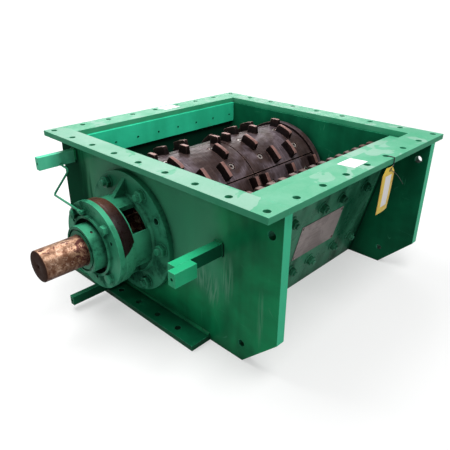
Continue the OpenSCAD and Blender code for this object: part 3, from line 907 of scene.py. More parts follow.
@made_once("roll steel")
def roll_steel(name):
    """Worn roll: rubbed grey and brown between the teeth, dark on steep sides, pinkish crowns, and
    dark lines at the seams. How steep a face is comes from its normal and the way out from the
    roll's axis, both in the roll's own coordinates."""
    r = bpy.context.scene.crusher_roll
    material, t, shader, at = start_material(name)
    out = vector_calc(t, "SUBTRACT", at, (AXIS_X, 0.0, AXIS_Z))
    out = vector_calc(t, "MULTIPLY", out, (1.0, 0.0, 1.0))
    radius = vector_calc(t, "LENGTH", out)
    normal = put(t, "TexCoord").outputs["Normal"]
    outward = vector_calc(t, "DOT_PRODUCT", vector_calc(t, "NORMALIZE", out), normal)
    cloud = noise(t, at, 9.0, 4.0, 0.55, 0.6)
    spots = use(t, rust_spots(), Vector=at, Scale=17.0)
    brown = times(t, level(t, cloud, 0.44, 0.56), 0.90)
    colour_now = blend(t, brown, r.steel, r.rust)
    colour_now = blend(t, times(t, spots["Mask"], 0.55), colour_now, (0.028, 0.017, 0.017))
    rubbed = level(t, noise(t, stretched(t, at, (26.0, 210.0, 26.0)), 1.0, 3.0, 0.6), 0.45, 0.75)
    # Lighter rubbed patches that stand partly for painted sheen.
    bright = times(t, rubbed, level(t, cloud, 0.40, 0.52, 0.75, 0.15))
    colour_now = blend(t, bright, colour_now, (0.215, 0.180, 0.205))
    high_up = level(t, radius, r.floor_r + 0.010, r.floor_r + 0.020)
    crown = times(t, high_up, level(t, noise(t, at, 70.0, 4.0), 0.25, 0.60, 0.45, 1.0))
    colour_now = blend(t, crown, colour_now, r.crown)
    # Steep sides of the teeth are painted dark as shade.
    steep = level(t, outward, 0.55, 0.90, 1.0, 0.0)
    dark = times(t, steep, level(t, spots["Grain"], 0.25, 0.70, 1.0, 0.93))
    colour_now = blend(t, dark, colour_now, r.dark)
    # Lighter edges: wear and painted highlight.
    edge = use(t, edge_wear_and_highlight(), Vector=at, Amount=0.95, Width=0.0028, Scale=45.0)["Mask"]
    colour_now = blend(t, edge, colour_now, (0.300, 0.185, 0.165))
    # Dark corners and seams: dirt and painted shade.
    dirt_and_shade_mask = use(t, corner_dirt_and_shade(), Vector=at, Amount=1.0, Distance=0.030)["Mask"]
    colour_now = blend(t, dirt_and_shade_mask, colour_now, r.dark)
    t.links.new(colour_now, shader.inputs["Base Color"])
    t.links.new(level(t, spots["Grain"], 0.25, 0.75, 0.30, 0.52), shader.inputs["Roughness"])
    t.links.new(times(t, calc(t, "SUBTRACT", 1.0, steep), 0.45), shader.inputs["Metallic"])
    shader.inputs["Specular IOR Level"].default_value = 0.08
    height = plus(t, spots["Grain"], times(t, rubbed, 0.4))
    bump(t, shader, height, 0.35, 0.0008)
    return material


def comb_rust():
    """Brown rust of the comb's ribs and the collars' set screws, with rubbed edges."""
    return material_once("comb rust", rusty, (0.135, 0.076, 0.064), (0.085, 0.040, 0.030),
                         (0.012, 0.007, 0.006), 20.0, 0.55, metallic=0.15,
                         edge=(0.25, 0.140, 0.120), dirt=1.0, reach=0.10)


def backing_rust():
    """The plate behind the ribs is nearly black."""
    return material_once("backing rust", rusty, (0.020, 0.012, 0.011), (0.030, 0.015, 0.012),
                         (0.006, 0.004, 0.004), 20.0, 0.65, dirt=1.0)


# ---------------------------------------------------------------- housing

class CRUSHER_OT_housing(bpy.types.Operator):
    """Builds the flange, end plates, walls, base bars and guard bars"""
    bl_idname = "crusher.build_housing"
    bl_label = "Housing"

    def execute(self, context):
        edge = context.scene.crusher_paint.edge
        for node in ("inlet_bar_drive", "inlet_bar_far", "inlet_bar_breaker", "inlet_bar_back"):
            from_cad(node, "flange_" + node[10:], flange_paint(), edge)
        from_cad("end_plate_drive", "plate_drive", drive_plate_paint(), edge * 2)
        from_cad("end_plate_far", "plate_far", far_plate_shaded_paint(), edge * 2)
        from_cad("breaker_wall", "welded_breaker_wall", shaded_paint(), edge)
        for node in ("base_bar_drive", "base_bar_far"):
            from_cad(node, "welded_" + node, far_plate_shaded_paint(), edge)
        from_cad("breaker_rail", "welded_breaker_rail", flange_paint(), edge)
        from_cad("back_wall", "welded_back_wall", wall_paint(), edge)
        from_cad("deflector", "inner_deflector", lit_liner_paint(), edge)
        from_cad("guard_bar_lower", "stub_bar_lower", far_plate_shaded_paint(), edge)
        from_cad("guard_bar_upper", "stub_bar_upper", upper_bar_lit_paint(), edge)
        for node in ("guard_bar_side", "guard_block"):
            from_cad(node, "stub_" + node[6:], bright_paint(), edge)
        return {"FINISHED"}


def wall_x(z):
    """Outer face of the breaker wall at a height."""
    return BASE_X + z * math.tan(WALL_LEAN)


class CRUSHER_OT_welds(bpy.types.Operator):
    """Lays the weld beads in the housing's corners"""
    bl_idname = "crusher.build_welds"
    bl_label = "Welds"

    def execute(self, context):
        d = context.scene.crusher_detail
        down, rise = (0.0, 0.0, -1.0), (0.0, 0.0, 1.0)
        beads = []
        for side in (-1, 1):
            out = (0.0, side, 0.0)
            y = side * PLATE_Y
            under = straight((X_BACK + 0.004, y, FLANGE_Z), (X_FRONT - 0.004, y, FLANGE_Z))
            beads.append(bead(under, out, down, d.bead, side))
            foot = straight((-BASE_X + 0.002, y, BASE_TOP), (BASE_X - 0.002, y, BASE_TOP))
            beads.append(bead(foot, out, rise, d.bead * 0.9, side + 0.7))
            wall_low = (BASE_X, side * INNER_Y, 0.002)
            wall_high = (wall_x(RAIL_Z), side * INNER_Y, RAIL_Z - 0.002)
            beads.append(bead(straight(wall_low, wall_high), (0.0, -side, 0.0), (1.0, 0.0, 0.0),
                              d.bead, side + 1.9))
        rail_end = high("breaker_rail").x
        wall_top = wall_x(RAIL_Z)
        corner = straight((wall_top, -INNER_Y + 0.008, RAIL_Z), (wall_top, INNER_Y - 0.008, RAIL_Z))
        if rail_end > wall_top + 0.01:
            beads.append(bead(corner, (1.0, 0.0, 0.0), down, d.bead * 0.8, 3.1))
        for node in ("guard_bar_upper", "guard_bar_lower", "guard_bar_side"):
            lo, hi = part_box(node)
            foot_z = lo.z if node != "guard_bar_lower" else lo.z + 0.001
            y = -PLATE_Y
            out = (0.0, -1.0, 0.0)
            sides = [((lo.x, y, hi.z), (hi.x, y, hi.z), rise),
                     ((lo.x, y, foot_z), (lo.x, y, hi.z), (-1.0, 0.0, 0.0)),
                     ((hi.x, y, foot_z), (hi.x, y, hi.z), (1.0, 0.0, 0.0))]
            if node != "guard_bar_lower":
                sides.append(((lo.x, y, foot_z), (hi.x, y, foot_z), down))
            for number, (start, end, across) in enumerate(sides):
                beads.append(bead(straight(start, end, 0.0018), across, out, d.small_bead,
                                  number + lo.x * 9))
        add_piece("weld_beads", beads, HOUSING, wall_paint(), angle=60)
        return {"FINISHED"}


# ---------------------------------------------------------------- bearings

@made_once("bearing ring rust")
def bearing_ring_rust(name):
    """The bearing's outer ring: rust, with green paint over its lower side. The paint's edge runs
    slantwise, by the angle round the axis and the distance along it."""
    b = bpy.context.scene.crusher_bearing
    p = bpy.context.scene.crusher_paint
    material, t, shader, at = start_material(name)
    spots = use(t, rust_spots(), Vector=at, Scale=17.0)
    rust = blend(t, spots["Mask"], b.rust, (0.045, 0.018, 0.014))
    x, y, z = parts_of(t, at)
    across = calc(t, "SUBTRACT", x, AXIS_X)
    rise = calc(t, "SUBTRACT", z, AXIS_Z)
    # Darker towards +X: painted shade on that side of the ring.
    rust = blend(t, level(t, across, 0.00, 0.085, 0.0, 0.93), rust, (0.010, 0.005, 0.006))
    reach = calc(t, "SQRT", plus(t, times(t, across, across), times(t, rise, rise)))
    # Near the axis, the recess is painted black as shade.
    recess = level(t, reach, 0.088, 0.092, 1.0, 0.0)
    depth = calc(t, "ABSOLUTE", y)
    line = plus(t, rise, times(t, calc(t, "SUBTRACT", depth, NECK_Y), 0.80))
    ragged = plus(t, line, times(t, noise(t, at, 45.0, 3.0), 0.006))
    painted = level(t, ragged, 0.032, 0.036, 1.0, 0.0)
    rust = blend(t, recess, blend(t, painted, rust, p.fitting), (0.004, 0.005, 0.004))
    t.links.new(rust, shader.inputs["Base Color"])
    t.links.new(level(t, spots["Grain"], 0.3, 0.7, 0.22, 0.46), shader.inputs["Roughness"])
    shader.inputs["Metallic"].default_value = 0.15
    shader.inputs["Specular IOR Level"].default_value = 0.20
    bump(t, shader, spots["Grain"], 0.25, 0.0007)
    return material


@made_once("shaft rust")
def shaft_rust(name):
    """Bare shaft steel: tan and pinkish patches, dark red stains, and fine turning marks."""
    b = bpy.context.scene.crusher_bearing
    material, t, shader, at = start_material(name)
    wide = noise(t, at, 26.0, 5.0, 0.62, 0.8)
    fine = noise(t, at, 120.0, 5.0, 0.70, 0.3)
    tone = plus(t, times(t, wide, 0.62), times(t, fine, 0.38))
    colour_now = blend(t, level(t, tone, 0.40, 0.62), (0.135, 0.056, 0.032), b.shaft)
    # Pale blotches: partly bright steel and partly painted highlight.
    bright = level(t, noise(t, at, 74.0, 6.0, 0.72, 0.9), 0.50, 0.68)
    colour_now = blend(t, times(t, bright, 0.75), colour_now, (0.680, 0.480, 0.365))
    _, y, z = parts_of(t, at)
    by_collar = level(t, y, -SHAFT_END + 0.060, -COLLAR_Y, 0.0, 0.085)
    stain = level(t, plus(t, noise(t, at, 36.0, 5.0, 0.7, 1.2), by_collar), 0.555, 0.625)
    colour_now = blend(t, times(t, stain, 0.92), colour_now, (0.055, 0.011, 0.012))
    # Darker on the underside: painted shade.
    under = level(t, plus(t, z, times(t, tone, 0.02)), AXIS_Z - 0.022, AXIS_Z + 0.006, 0.80, 0.0)
    colour_now = blend(t, under, colour_now, (0.070, 0.022, 0.014))
    end_face = level(t, y, -SHAFT_END + 0.0012, -SHAFT_END + 0.0030, 1.0, 0.0)
    colour_now = blend(t, end_face, colour_now, (0.040, 0.018, 0.012))
    # Dark corners: dirt and painted shade.
    dirt_and_shade_mask = use(t, corner_dirt_and_shade(), Vector=at, Amount=0.8, Distance=0.02)["Mask"]
    colour_now = blend(t, dirt_and_shade_mask, colour_now, (0.020, 0.010, 0.008))
    t.links.new(colour_now, shader.inputs["Base Color"])
    rough = level(t, tone, 0.35, 0.65, 0.52, 0.32)
    t.links.new(plus(t, rough, times(t, end_face, 0.35)), shader.inputs["Roughness"])
    t.links.new(level(t, end_face, 0.0, 1.0, 0.50, 0.0), shader.inputs["Metallic"])
    shader.inputs["Specular IOR Level"].default_value = 0.12
    turning = noise(t, stretched(t, at, (8.0, 620.0, 8.0)), 1.0, 2.0)
    bump(t, shader, plus(t, times(t, turning, 0.25), tone), 0.35, 0.0008)
    return material


STUD_ANGLES = (0, 60, 120, 180, 240, 300)
OPEN_HOLE_ANGLES = (30, 210)
FLANGE_BOLT_ANGLES = (45, 135, 225, 315)
NECK_R = 0.113
RING_OUTER, RING_INNER = 0.1188, 0.0430
RING_GROOVE, RING_LIP = 0.004, 0.0090
CASTING_EDGE = 0.0018
DISC_WASHER_T, DISC_NUT_H = 0.0025, 0.0125
FLANGE_WASHER_T, FLANGE_HEAD_H = 0.0022, 0.0106


def neck_fillet(side, out):
    """The rounded corner between the flange disc and the neck."""
    a = around(160)
    radial = np.stack([np.cos(a), a * 0, np.sin(a)], -1)
    corner = on_roll_axis(NECK_R, side * DISC_Y, a)
    return bead(corner, radial, out, 0.0065, 0.4, closed=True)


def bearing_ring(side):
    """The bearing's outer ring, which is a step wider between its two lips."""
    near, far = side * (NECK_Y + 0.0002), side * (CART_Y - 0.0002)
    lip, narrow, slight = side * RING_LIP, RING_OUTER - RING_GROOVE, RING_OUTER - 0.0008
    corners = [(near, RING_INNER), (near, narrow), (near + lip, narrow), (near + lip, RING_OUTER),
               (far - lip, RING_OUTER), (far - lip, slight), (far, slight), (far, RING_INNER)]
    return turned_ring(corners, 0.0010, 160)


def disc_studs(b, side, out):
    """Washers, nuts and stud ends round the flange disc."""
    shapes = []
    for number, degrees in enumerate(STUD_ANGLES):
        centre = on_roll_axis(b.stud_circle, side * DISC_Y, math.radians(degrees))
        shapes.append(washer(centre, out, b.stud_nut * 0.62, DISC_WASHER_T))
        shapes.append(hex_head(centre + np.array(out) * DISC_WASHER_T, out, b.stud_nut, DISC_NUT_H,
                               number * 0.37, b.stud_r * 0.9))
        shapes.append(thread(centre, out, 0.0145, 0.0238, b.stud_r))
    return shapes


def open_hole_rims(b, side, out):
    """Raised rims round the disc's two open holes."""
    rim = np.array([[0.0094, -0.0040], [0.0094, 0.0014], [0.0106, 0.0022], [0.0124, 0.0014],
                    [0.0132, -0.0010]])
    d, u, v = frame_of(out)
    a = around(40)[:, None, None]
    across = u * np.cos(a) + v * np.sin(a)
    shapes = []
    for degrees in OPEN_HOLE_ANGLES:
        centre = on_roll_axis(b.stud_circle, side * DISC_Y, math.radians(degrees))
        shapes.append(ring(centre + across * rim[None, :, :1] + d * rim[None, :, 1:]))
    return shapes


def flange_bolts(b, side, out):
    """Washers and bolt heads on the bearing's mounting flange."""
    shapes = []
    for number, degrees in enumerate(FLANGE_BOLT_ANGLES):
        centre = on_roll_axis(b.bolt_circle, side * BFLANGE_Y, math.radians(degrees))
        shapes.append(washer(centre, out, b.bolt_head * 0.60, FLANGE_WASHER_T))
        shapes.append(hex_head(centre + np.array(out) * FLANGE_WASHER_T, out, b.bolt_head,
                               FLANGE_HEAD_H, 0.3 + number * 0.5))
    return shapes


class CRUSHER_OT_bearings(bpy.types.Operator):
    """Builds the bearing brackets, rings, mounting flanges and their bolts at both ends"""
    bl_idname = "crusher.build_bearings"
    bl_label = "Bearings"

    def execute(self, context):
        b = context.scene.crusher_bearing
        ring_rust, paint = bearing_ring_rust(), fitting_paint()
        for side, end in ENDS:
            out = (0.0, side, 0.0)
            for node, name in (("bracket_", "bracket_casting_"),
                               ("bearing_flange_", "mounting_flange_")):
                from_cad(node + end, name + end, paint, CASTING_EDGE)
            add_piece("neck_fillet_" + end, [neck_fillet(side, out)], HOUSING,
                      paint, angle=60)
            add_piece("bearing_ring_" + end, [bearing_ring(side)], HOUSING,
                      ring_rust, ["cartridge_" + end])
            shapes = disc_studs(b, side, out) + open_hole_rims(b, side, out)
            add_piece("bearing_bolts_and_nuts_" + end, shapes + flange_bolts(b, side, out), HOUSING,
                      paint, ["bearing_bolts_" + end])
        return {"FINISHED"}


DRIVE_R, JOURNAL_R, MIDDLE_R = 0.0413, 0.0428, 0.0575
CENTRE_HOLE_R, SHAFT_CHAMFER = 0.005, 0.0022
COLLAR_R, SET_SCREW_IN, SET_SCREW_ANGLE = 0.0647, 0.018, 61


def shaft_shape():
    """The shaft: a thinner drive end with a centre hole, journals, and a thick middle."""
    end, cut = -SHAFT_END, SHAFT_CHAMFER
    profile = [(end + 0.013, CENTRE_HOLE_R * 0.3), (end + 0.011, CENTRE_HOLE_R),
               (end + 0.0015, CENTRE_HOLE_R), (end, CENTRE_HOLE_R + 0.0022),
               (end, DRIVE_R - cut - 0.0006), (end + 0.0004, DRIVE_R - cut),
               (end + cut - 0.0004, DRIVE_R - 0.0004), (end + cut + 0.0004, DRIVE_R),
               (-COLLAR_Y - 0.0006, DRIVE_R), (-COLLAR_Y, DRIVE_R + 0.0006), (-COLLAR_Y, JOURNAL_R),
               (-ROLL_Y - 0.001, JOURNAL_R), (-ROLL_Y, MIDDLE_R - 0.001),
               (-ROLL_Y + 0.001, MIDDLE_R), (ROLL_Y - 0.001, MIDDLE_R), (ROLL_Y, MIDDLE_R - 0.001),
               (ROLL_Y + 0.001, JOURNAL_R), (SHAFT_FAR - cut, JOURNAL_R),
               (SHAFT_FAR, JOURNAL_R - cut)]
    return turned_bar(profile)


def set_screw(side):
    """The set screw of a collar: a round cup with a hexagon socket."""
    turn = math.radians(SET_SCREW_ANGLE)
    out = np.array([math.cos(turn), 0.0, math.sin(turn)])
    at = on_roll_axis(COLLAR_R - 0.0045, side * (COLLAR_Y - SET_SCREW_IN), turn)
    a = around(24)
    socket = hexagon(0.0035, a)
    radii = np.stack([a * 0 + 0.0038, a * 0 + 0.0038, socket, socket * 0.98])
    heights = np.stack([a * 0, a * 0 + 0.0022, a * 0 + 0.0022, a * 0 + 0.0008])
    return stacked(at, out, heights, radii)


class CRUSHER_OT_shaft(bpy.types.Operator):
    """Builds the shaft and its two locking collars"""
    bl_idname = "crusher.build_shaft"
    bl_label = "Shaft"

    def execute(self, context):
        add_piece("shaft_bar", [shaft_shape()], ROLL, shaft_rust(), ["shaft"])
        for side, end in ENDS:
            from_cad("collar_" + end, "locking_collar_" + end, fitting_paint(),
                     0.0012, ROLL)
            add_piece("set_screw_" + end, [set_screw(side)], ROLL, comb_rust())
        return {"FINISHED"}


# ---------------------------------------------------------------- roll

# Teeth of half a segment: distance from the middle seam, start and end angle after the seam
TEETH = ((0.110, 2.5, 20), (0.189, 2.5, 20), (0.064, 24, 42), (0.237, 24, 42),
         (0.023, 47, 58), (0.150, 47, 58), (0.266, 47, 58))
SEAM_ANGLE, SEGMENT_STEP = 38.0, 60.0
BOLT_ANGLES, BOLT_PLACES = (15.0, 45.0), (0.064, 0.236)
BOLT_SINK_R = 0.0112


def line_places(start, end, step, edges, offsets, extra=()):
    """Places for grid lines: even steps, close pairs at each edge, and some extra ones."""
    edges = np.asarray(edges, float)
    near = (edges[:, None] + np.asarray(offsets, float)[None, :]).ravel()
    even = np.linspace(start, end, int((end - start) / step) + 1)
    every = np.concatenate([even, near, np.asarray(extra, float)])
    every = np.unique(np.round(every[(every > start) & (every < end)], 6))
    kept = every[np.concatenate([[True], np.diff(every) > 0.00025])]
    return np.concatenate([[start], kept, [end]])


def ramp(distance, draft):
    """Height share of a tooth by the distance inside its edge: 0 outside, then a steep side,
    then a rounded shoulder up to 1."""
    x = np.clip(distance / draft, 0, 1)
    return x * (2 - x)


def segment_half(number, side, r):
    """Half a segment as a height over the drum: the radius at each angle and place along the
    roll is the floor, plus the teeth, less hollows that are worn round them, less the bolt
    sinks. The grid's edges run down to the drum, so that the shape is closed."""
    radius = r.floor_r
    gap = math.degrees(r.seam / 2 / radius)
    first, last = gap, SEGMENT_STEP - gap
    degree = math.radians(1) * radius
    angle_edges = [e for _, a, b in TEETH for e in (a, b)]
    angle_offsets = np.array([-0.0004, 0.0004, 0.0012, 0.0026]) / degree
    angle_offsets = np.concatenate([angle_offsets, -angle_offsets])
    sink = np.linspace(-BOLT_SINK_R - 0.001, BOLT_SINK_R + 0.001, 13)
    bolt_angle_lines = np.concatenate([a + sink / degree for a in BOLT_ANGLES])
    bolt_y_lines = np.concatenate([b + sink for b in BOLT_PLACES])
    angles = line_places(first, last, 1.5, angle_edges, angle_offsets, bolt_angle_lines)
    y_edges = [t[0] + s * r.tooth_w / 2 for t in TEETH for s in (-1, 1)]
    y_offsets = np.array([-0.0026, -0.0012, -0.0004, 0.0004, 0.0012, 0.0026])
    places = line_places(r.seam / 2, SEG_Y, 0.0046, y_edges, y_offsets, bolt_y_lines)
    a, y = np.meshgrid(angles, places, indexing="ij")
    height = np.zeros_like(a)
    rng = np.random.default_rng(100 + number * 2 + (side > 0))
    full = r.tip_r - radius
    for centre, start, end in TEETH:
        worn = rng.uniform(0.0, 0.12)
        inside_y = r.tooth_w / 2 - np.abs(y - centre)
        to_start, to_end = (a - start) * degree, (end - a) * degree
        sides = ramp(inside_y, r.draft) * ramp(to_start, r.draft * 1.4) * ramp(to_end, r.draft * 2.2)
        crown = 1 - worn - 0.05 * np.clip(-(to_start - 0.004) / 0.004, 0, 1)
        wave = 0.006 * np.sin(a * 0.9 + rng.uniform(0, 6)) + 0.005 * np.sin(y * 700 + number)
        height = np.maximum(height, sides * full * (crown + wave))
    for centre, start, end in TEETH:
        beside = np.abs(np.abs(y - centre) - r.tooth_w / 2 - 0.006) / 0.006
        along = np.clip(1 - np.abs(a - (start + end) / 2) / ((end - start) / 2 + 2), 0, 1)
        hollow = np.clip(1 - beside, 0, 1) * np.sqrt(along)
        height = height - r.wear * hollow * (height < 0.002)
    waves = (np.sin(a * 0.31 + y * 33 + number) + np.sin(a * 0.77 - y * 61 + 2 * number)
             + 0.6 * np.sin(a * 1.7 + y * 127))
    height = height + 0.00022 * waves * (height < 0.003)
    for bolt_a in BOLT_ANGLES:
        for bolt_y in BOLT_PLACES:
            away = np.hypot((a - bolt_a) * degree, y - bolt_y)
            height = np.where(away < BOLT_SINK_R, np.minimum(height, -0.0045), height)
    turned = np.radians(a + SEAM_ANGLE + SEGMENT_STEP * number)
    top = on_roll_axis(radius + height, side * y, turned)
    skirt = DRUM_R + 0.0004
    low_row = on_roll_axis(skirt, side * y[:, :1], turned[:, :1])
    high_row = on_roll_axis(skirt, side * y[:, -1:], turned[:, -1:])
    return tube(np.concatenate([low_row, top, high_row], axis=1))


def segment_bolt(centre, direction, turn):
    """A socket head flush with the segment: a rounded ring down to a hexagon socket."""
    a = around(30)
    socket = hexagon(0.0088, a)
    radii = np.stack([a * 0 + 0.0094, a * 0 + 0.0096, a * 0 + 0.0096, a * 0 + 0.0090, socket + 0.0005,
                      socket, socket, a * 0 + 0.0008])
    heights = np.stack([a * 0 - 0.008, a * 0 - 0.007, a * 0 - 0.0004, a * 0 + 0.0002,
                        a * 0 + 0.0002, a * 0 - 0.0002, a * 0 - 0.0058, a * 0 - 0.0060])
    return stacked(centre, direction, heights, radii, turn)


def bolt_steel():
    """Bright steel of the segment bolts and the plate's rivets."""
    return material_once("segment bolt steel", rusty, (0.50, 0.46, 0.44), (0.20, 0.10, 0.08),
                         (0.030, 0.014, 0.012), 90.0, 0.30, metallic=0.75, dirt=1.0)


class CRUSHER_OT_roll(bpy.types.Operator):
    """Builds the six toothed segments, their bolts, the end rings and the drum's finish"""
    bl_idname = "crusher.build_roll"
    bl_label = "Roll"

    def execute(self, context):
        r = context.scene.crusher_roll
        for number in range(6):
            halves = [segment_half(number, side, r) for side in (-1, 1)]
            add_piece(f"roll_segment_{number + 1}", halves, ROLL, roll_steel(),
                      [f"segment_{number + 1}"], angle=40)
            bolts = []
            for bolt_a in BOLT_ANGLES:
                turn = math.radians(SEAM_ANGLE + SEGMENT_STEP * number + bolt_a)
                out = np.array([math.cos(turn), 0.0, math.sin(turn)])
                for bolt_y in BOLT_PLACES:
                    for side in (-1, 1):
                        at = on_roll_axis(r.floor_r - 0.0012, side * bolt_y, turn)
                        bolts.append(segment_bolt(at, out, bolt_y * 40 + number))
            add_piece(f"roll_bolts_{number + 1}", bolts, ROLL, bolt_steel())
        for side, end in ENDS:
            face, back = side * ROLL_Y, side * SEG_Y
            corners = [(back, 0.0577), (back, RING_R - 0.0006), (face, RING_R), (face, RING_R - 0.018),
                       (face - side * 0.0014, RING_R - 0.020), (face - side * 0.0014, 0.110),
                       (face, 0.108), (face, 0.0577)]
            add_piece("roll_end_ring_" + end, [turned_ring(corners, 0.0012, 180)], ROLL,
                      roll_steel(), ["end_ring_" + end])
        drum = frame["nodes"]["drum"]
        drum.data.materials.clear()
        drum.data.materials.append(roll_steel())
        return {"FINISHED"}


class CRUSHER_OT_comb(bpy.types.Operator):
    """Builds the breaker plate and the three comb sections"""
    bl_idname = "crusher.build_comb"
    bl_label = "Breaker comb"

    def execute(self, context):
        from_cad("breaker_plate", "breaker_backing", backing_rust(), 0.0010)
        for number in (1, 2, 3):
            from_cad(f"comb_{number}", f"comb_section_{number}", comb_rust(), 0.0022)
        return {"FINISHED"}


# ---------------------------------------------------------------- fasteners and small fittings

NUT_UPPER_Z, NUT_LOWER_Z = 0.280, 0.085
NUT_UPPER_Y = (-0.215, -0.120, 0.016, 0.111, 0.242)
NUT_LOWER_Y = (-0.262, -0.170, -0.045, 0.046, 0.172, 0.267)
WALL_OUT = (math.cos(WALL_LEAN), 0.0, -math.sin(WALL_LEAN))
WALL_WASHER_R, WALL_WASHER_T = 0.019, 0.003
WALL_NUT, WALL_NUT_H, WALL_BOLT_R = 0.024, 0.013, 0.008


class CRUSHER_OT_fasteners(bpy.types.Operator):
    """Builds the washers, nuts and bolt ends on the breaker wall"""
    bl_idname = "crusher.build_fasteners"
    bl_label = "Wall nuts"

    def execute(self, context):
        shapes = []
        rows = [(y, NUT_UPPER_Z) for y in NUT_UPPER_Y] + [(y, NUT_LOWER_Z) for y in NUT_LOWER_Y]
        out = np.array(WALL_OUT)
        for number, (y, z) in enumerate(rows):
            centre = np.array([wall_x(z), y, z])
            shapes.append(washer(centre, out, WALL_WASHER_R, WALL_WASHER_T))
            shapes.append(hex_head(centre + out * WALL_WASHER_T, out, WALL_NUT, WALL_NUT_H,
                                   number * 0.7, WALL_BOLT_R * 0.9))
            shapes.append(thread(centre, out, 0.0155, 0.0218, WALL_BOLT_R))
        add_piece("wall_nuts", shapes, HOUSING, shaded_paint(), ["breaker_nuts"])
        return {"FINISHED"}


GREASE_ROUTE = ((-0.280, -0.401, 0.3505), (-0.244, -0.394, 0.340), (-0.266, -0.440, 0.269),
                (-0.070, -0.4857, 0.305), (-0.0348, -0.4857, 0.3009))


class CRUSHER_OT_grease_line(bpy.types.Operator):
    """Builds the grease pipe and its fitting"""
    bl_idname = "crusher.build_grease_line"
    bl_label = "Grease line"

    def execute(self, context):
        d = context.scene.crusher_detail
        path = smooth_path(GREASE_ROUTE, 0.013)
        out = (0.0, -1.0, 0.0)
        nut_at = np.array(GREASE_ROUTE[-1])
        base = np.array([nut_at[0], -BFLANGE_Y, nut_at[2]])
        nose = round_pin(base, out, [0.0105, 0.0112, 0.0128, 0.0140, 0.0148],
                         [0.0040, 0.0030, 0.0030, 0.0036, 0.0020])
        along = np.array(GREASE_ROUTE[-2]) - nut_at
        shapes = [pipe(path, d.pipe_r), hex_head(base, out, 0.0125, 0.0110, 0.2), nose,
                  hex_head(nut_at + along / np.linalg.norm(along) * 0.004, along, 0.0095, 0.010)]
        add_piece("grease_pipe", shapes, HOUSING, fitting_paint(), ["grease_line"])
        return {"FINISHED"}


def plate_metal():
    """Dull pinkish-grey metal with rubbed lines and faint stains."""
    d = bpy.context.scene.crusher_detail
    return material_once("blank plate metal", rusty, d.plate, (0.330, 0.270, 0.265),
                         (0.120, 0.100, 0.100), 11.0, 0.42, metallic=0.25,
                         brushed=(30.0, 8.0, 240.0), dirt=0.5, relief=0.12)


@made_once("blank white paper")
def paper_white(name):
    """White paper with faint creases and grey smears, and nothing printed on it."""
    material, t, shader, at = start_material(name)
    smear = level(t, noise(t, stretched(t, at, (60.0, 25.0, 60.0)), 1.0, 4.0, 0.6), 0.45, 0.75)
    colour_now = blend(t, smear, (0.86, 0.85, 0.86), (0.66, 0.65, 0.69))
    t.links.new(colour_now, shader.inputs["Base Color"])
    shader.inputs["Roughness"].default_value = 0.55
    bump(t, shader, noise(t, at, 140.0, 3.0), 0.2, 0.0006)
    return material


def sheet_on(corner, along, across, out, thickness, steps=24, lift=0.0, seed=0):
    """A thin sheet on a face: a grid between a corner and two sides, lifted a little in slow
    waves and at one corner, with a back face and closed edges."""
    u, v = np.meshgrid(np.linspace(0, 1, steps), np.linspace(0, 1, steps), indexing="ij")
    corner, along, across, out = (np.asarray(p, float) for p in (corner, along, across, out))
    wave = lift * (0.25 + 0.25 * np.sin(u * 5 + seed) * np.sin(v * 4) + 0.5 * (u * v) ** 4)
    flat = corner + u[..., None] * along + v[..., None] * across
    front = flat + out * (thickness + wave)[..., None]
    back = flat + out * (wave * 0.9)[..., None]
    loops = np.concatenate([back[:, ::-1], front], axis=1)
    return tube(loops)


# Blank stickers on the flange: a corner, two sides, and the seed of their waves
STICKERS = (((0.4295, -0.049), (0.0445, 0.0075, 0.0), (-0.0005, 0.062, 0.0), 1),
            ((-0.341, 0.018), (0.042, 0.006, 0.0), (-0.002, 0.066, 0.0), 4))
RIVET_IN = 0.007


class CRUSHER_OT_plates(bpy.types.Operator):
    """Builds the blank plate on the breaker wall and the two blank stickers on the flange"""
    bl_idname = "crusher.build_plates"
    bl_label = "Blank plate and stickers"

    def execute(self, context):
        lo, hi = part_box("nameplate")
        out = np.array(WALL_OUT)
        lean = np.array([math.sin(WALL_LEAN), 0.0, math.cos(WALL_LEAN)])
        high_side = (hi.z - lo.z) / math.cos(WALL_LEAN)
        corner = np.array([wall_x(lo.z), lo.y, lo.z])
        plate = sheet_on(corner, (0.0, hi.y - lo.y, 0.0), lean * high_side, out, 0.0016)
        add_piece("blank_plate", [plate], HOUSING, plate_metal(), ["nameplate"])
        rivets = []
        for y in (lo.y + RIVET_IN, hi.y - RIVET_IN):
            for up in (RIVET_IN, high_side - RIVET_IN):
                at = corner + lean * up
                at[1] = y
                rivets.append(round_pin(at, out, [0.001, 0.0028, 0.0038, 0.0042],
                                        [0.0036, 0.0036, 0.0026, 0.0006]))
        add_piece("plate_rivets", rivets, HOUSING, bolt_steel())
        top = FLANGE_TOP + 0.00005
        stickers = [sheet_on((*corner_xy, top), along, across, (0.0, 0.0, 1.0), 0.00025,
                             lift=0.0008, seed=seed)
                    for corner_xy, along, across, seed in STICKERS]
        add_piece("blank_stickers", stickers, HOUSING, paper_white())
        return {"FINISHED"}


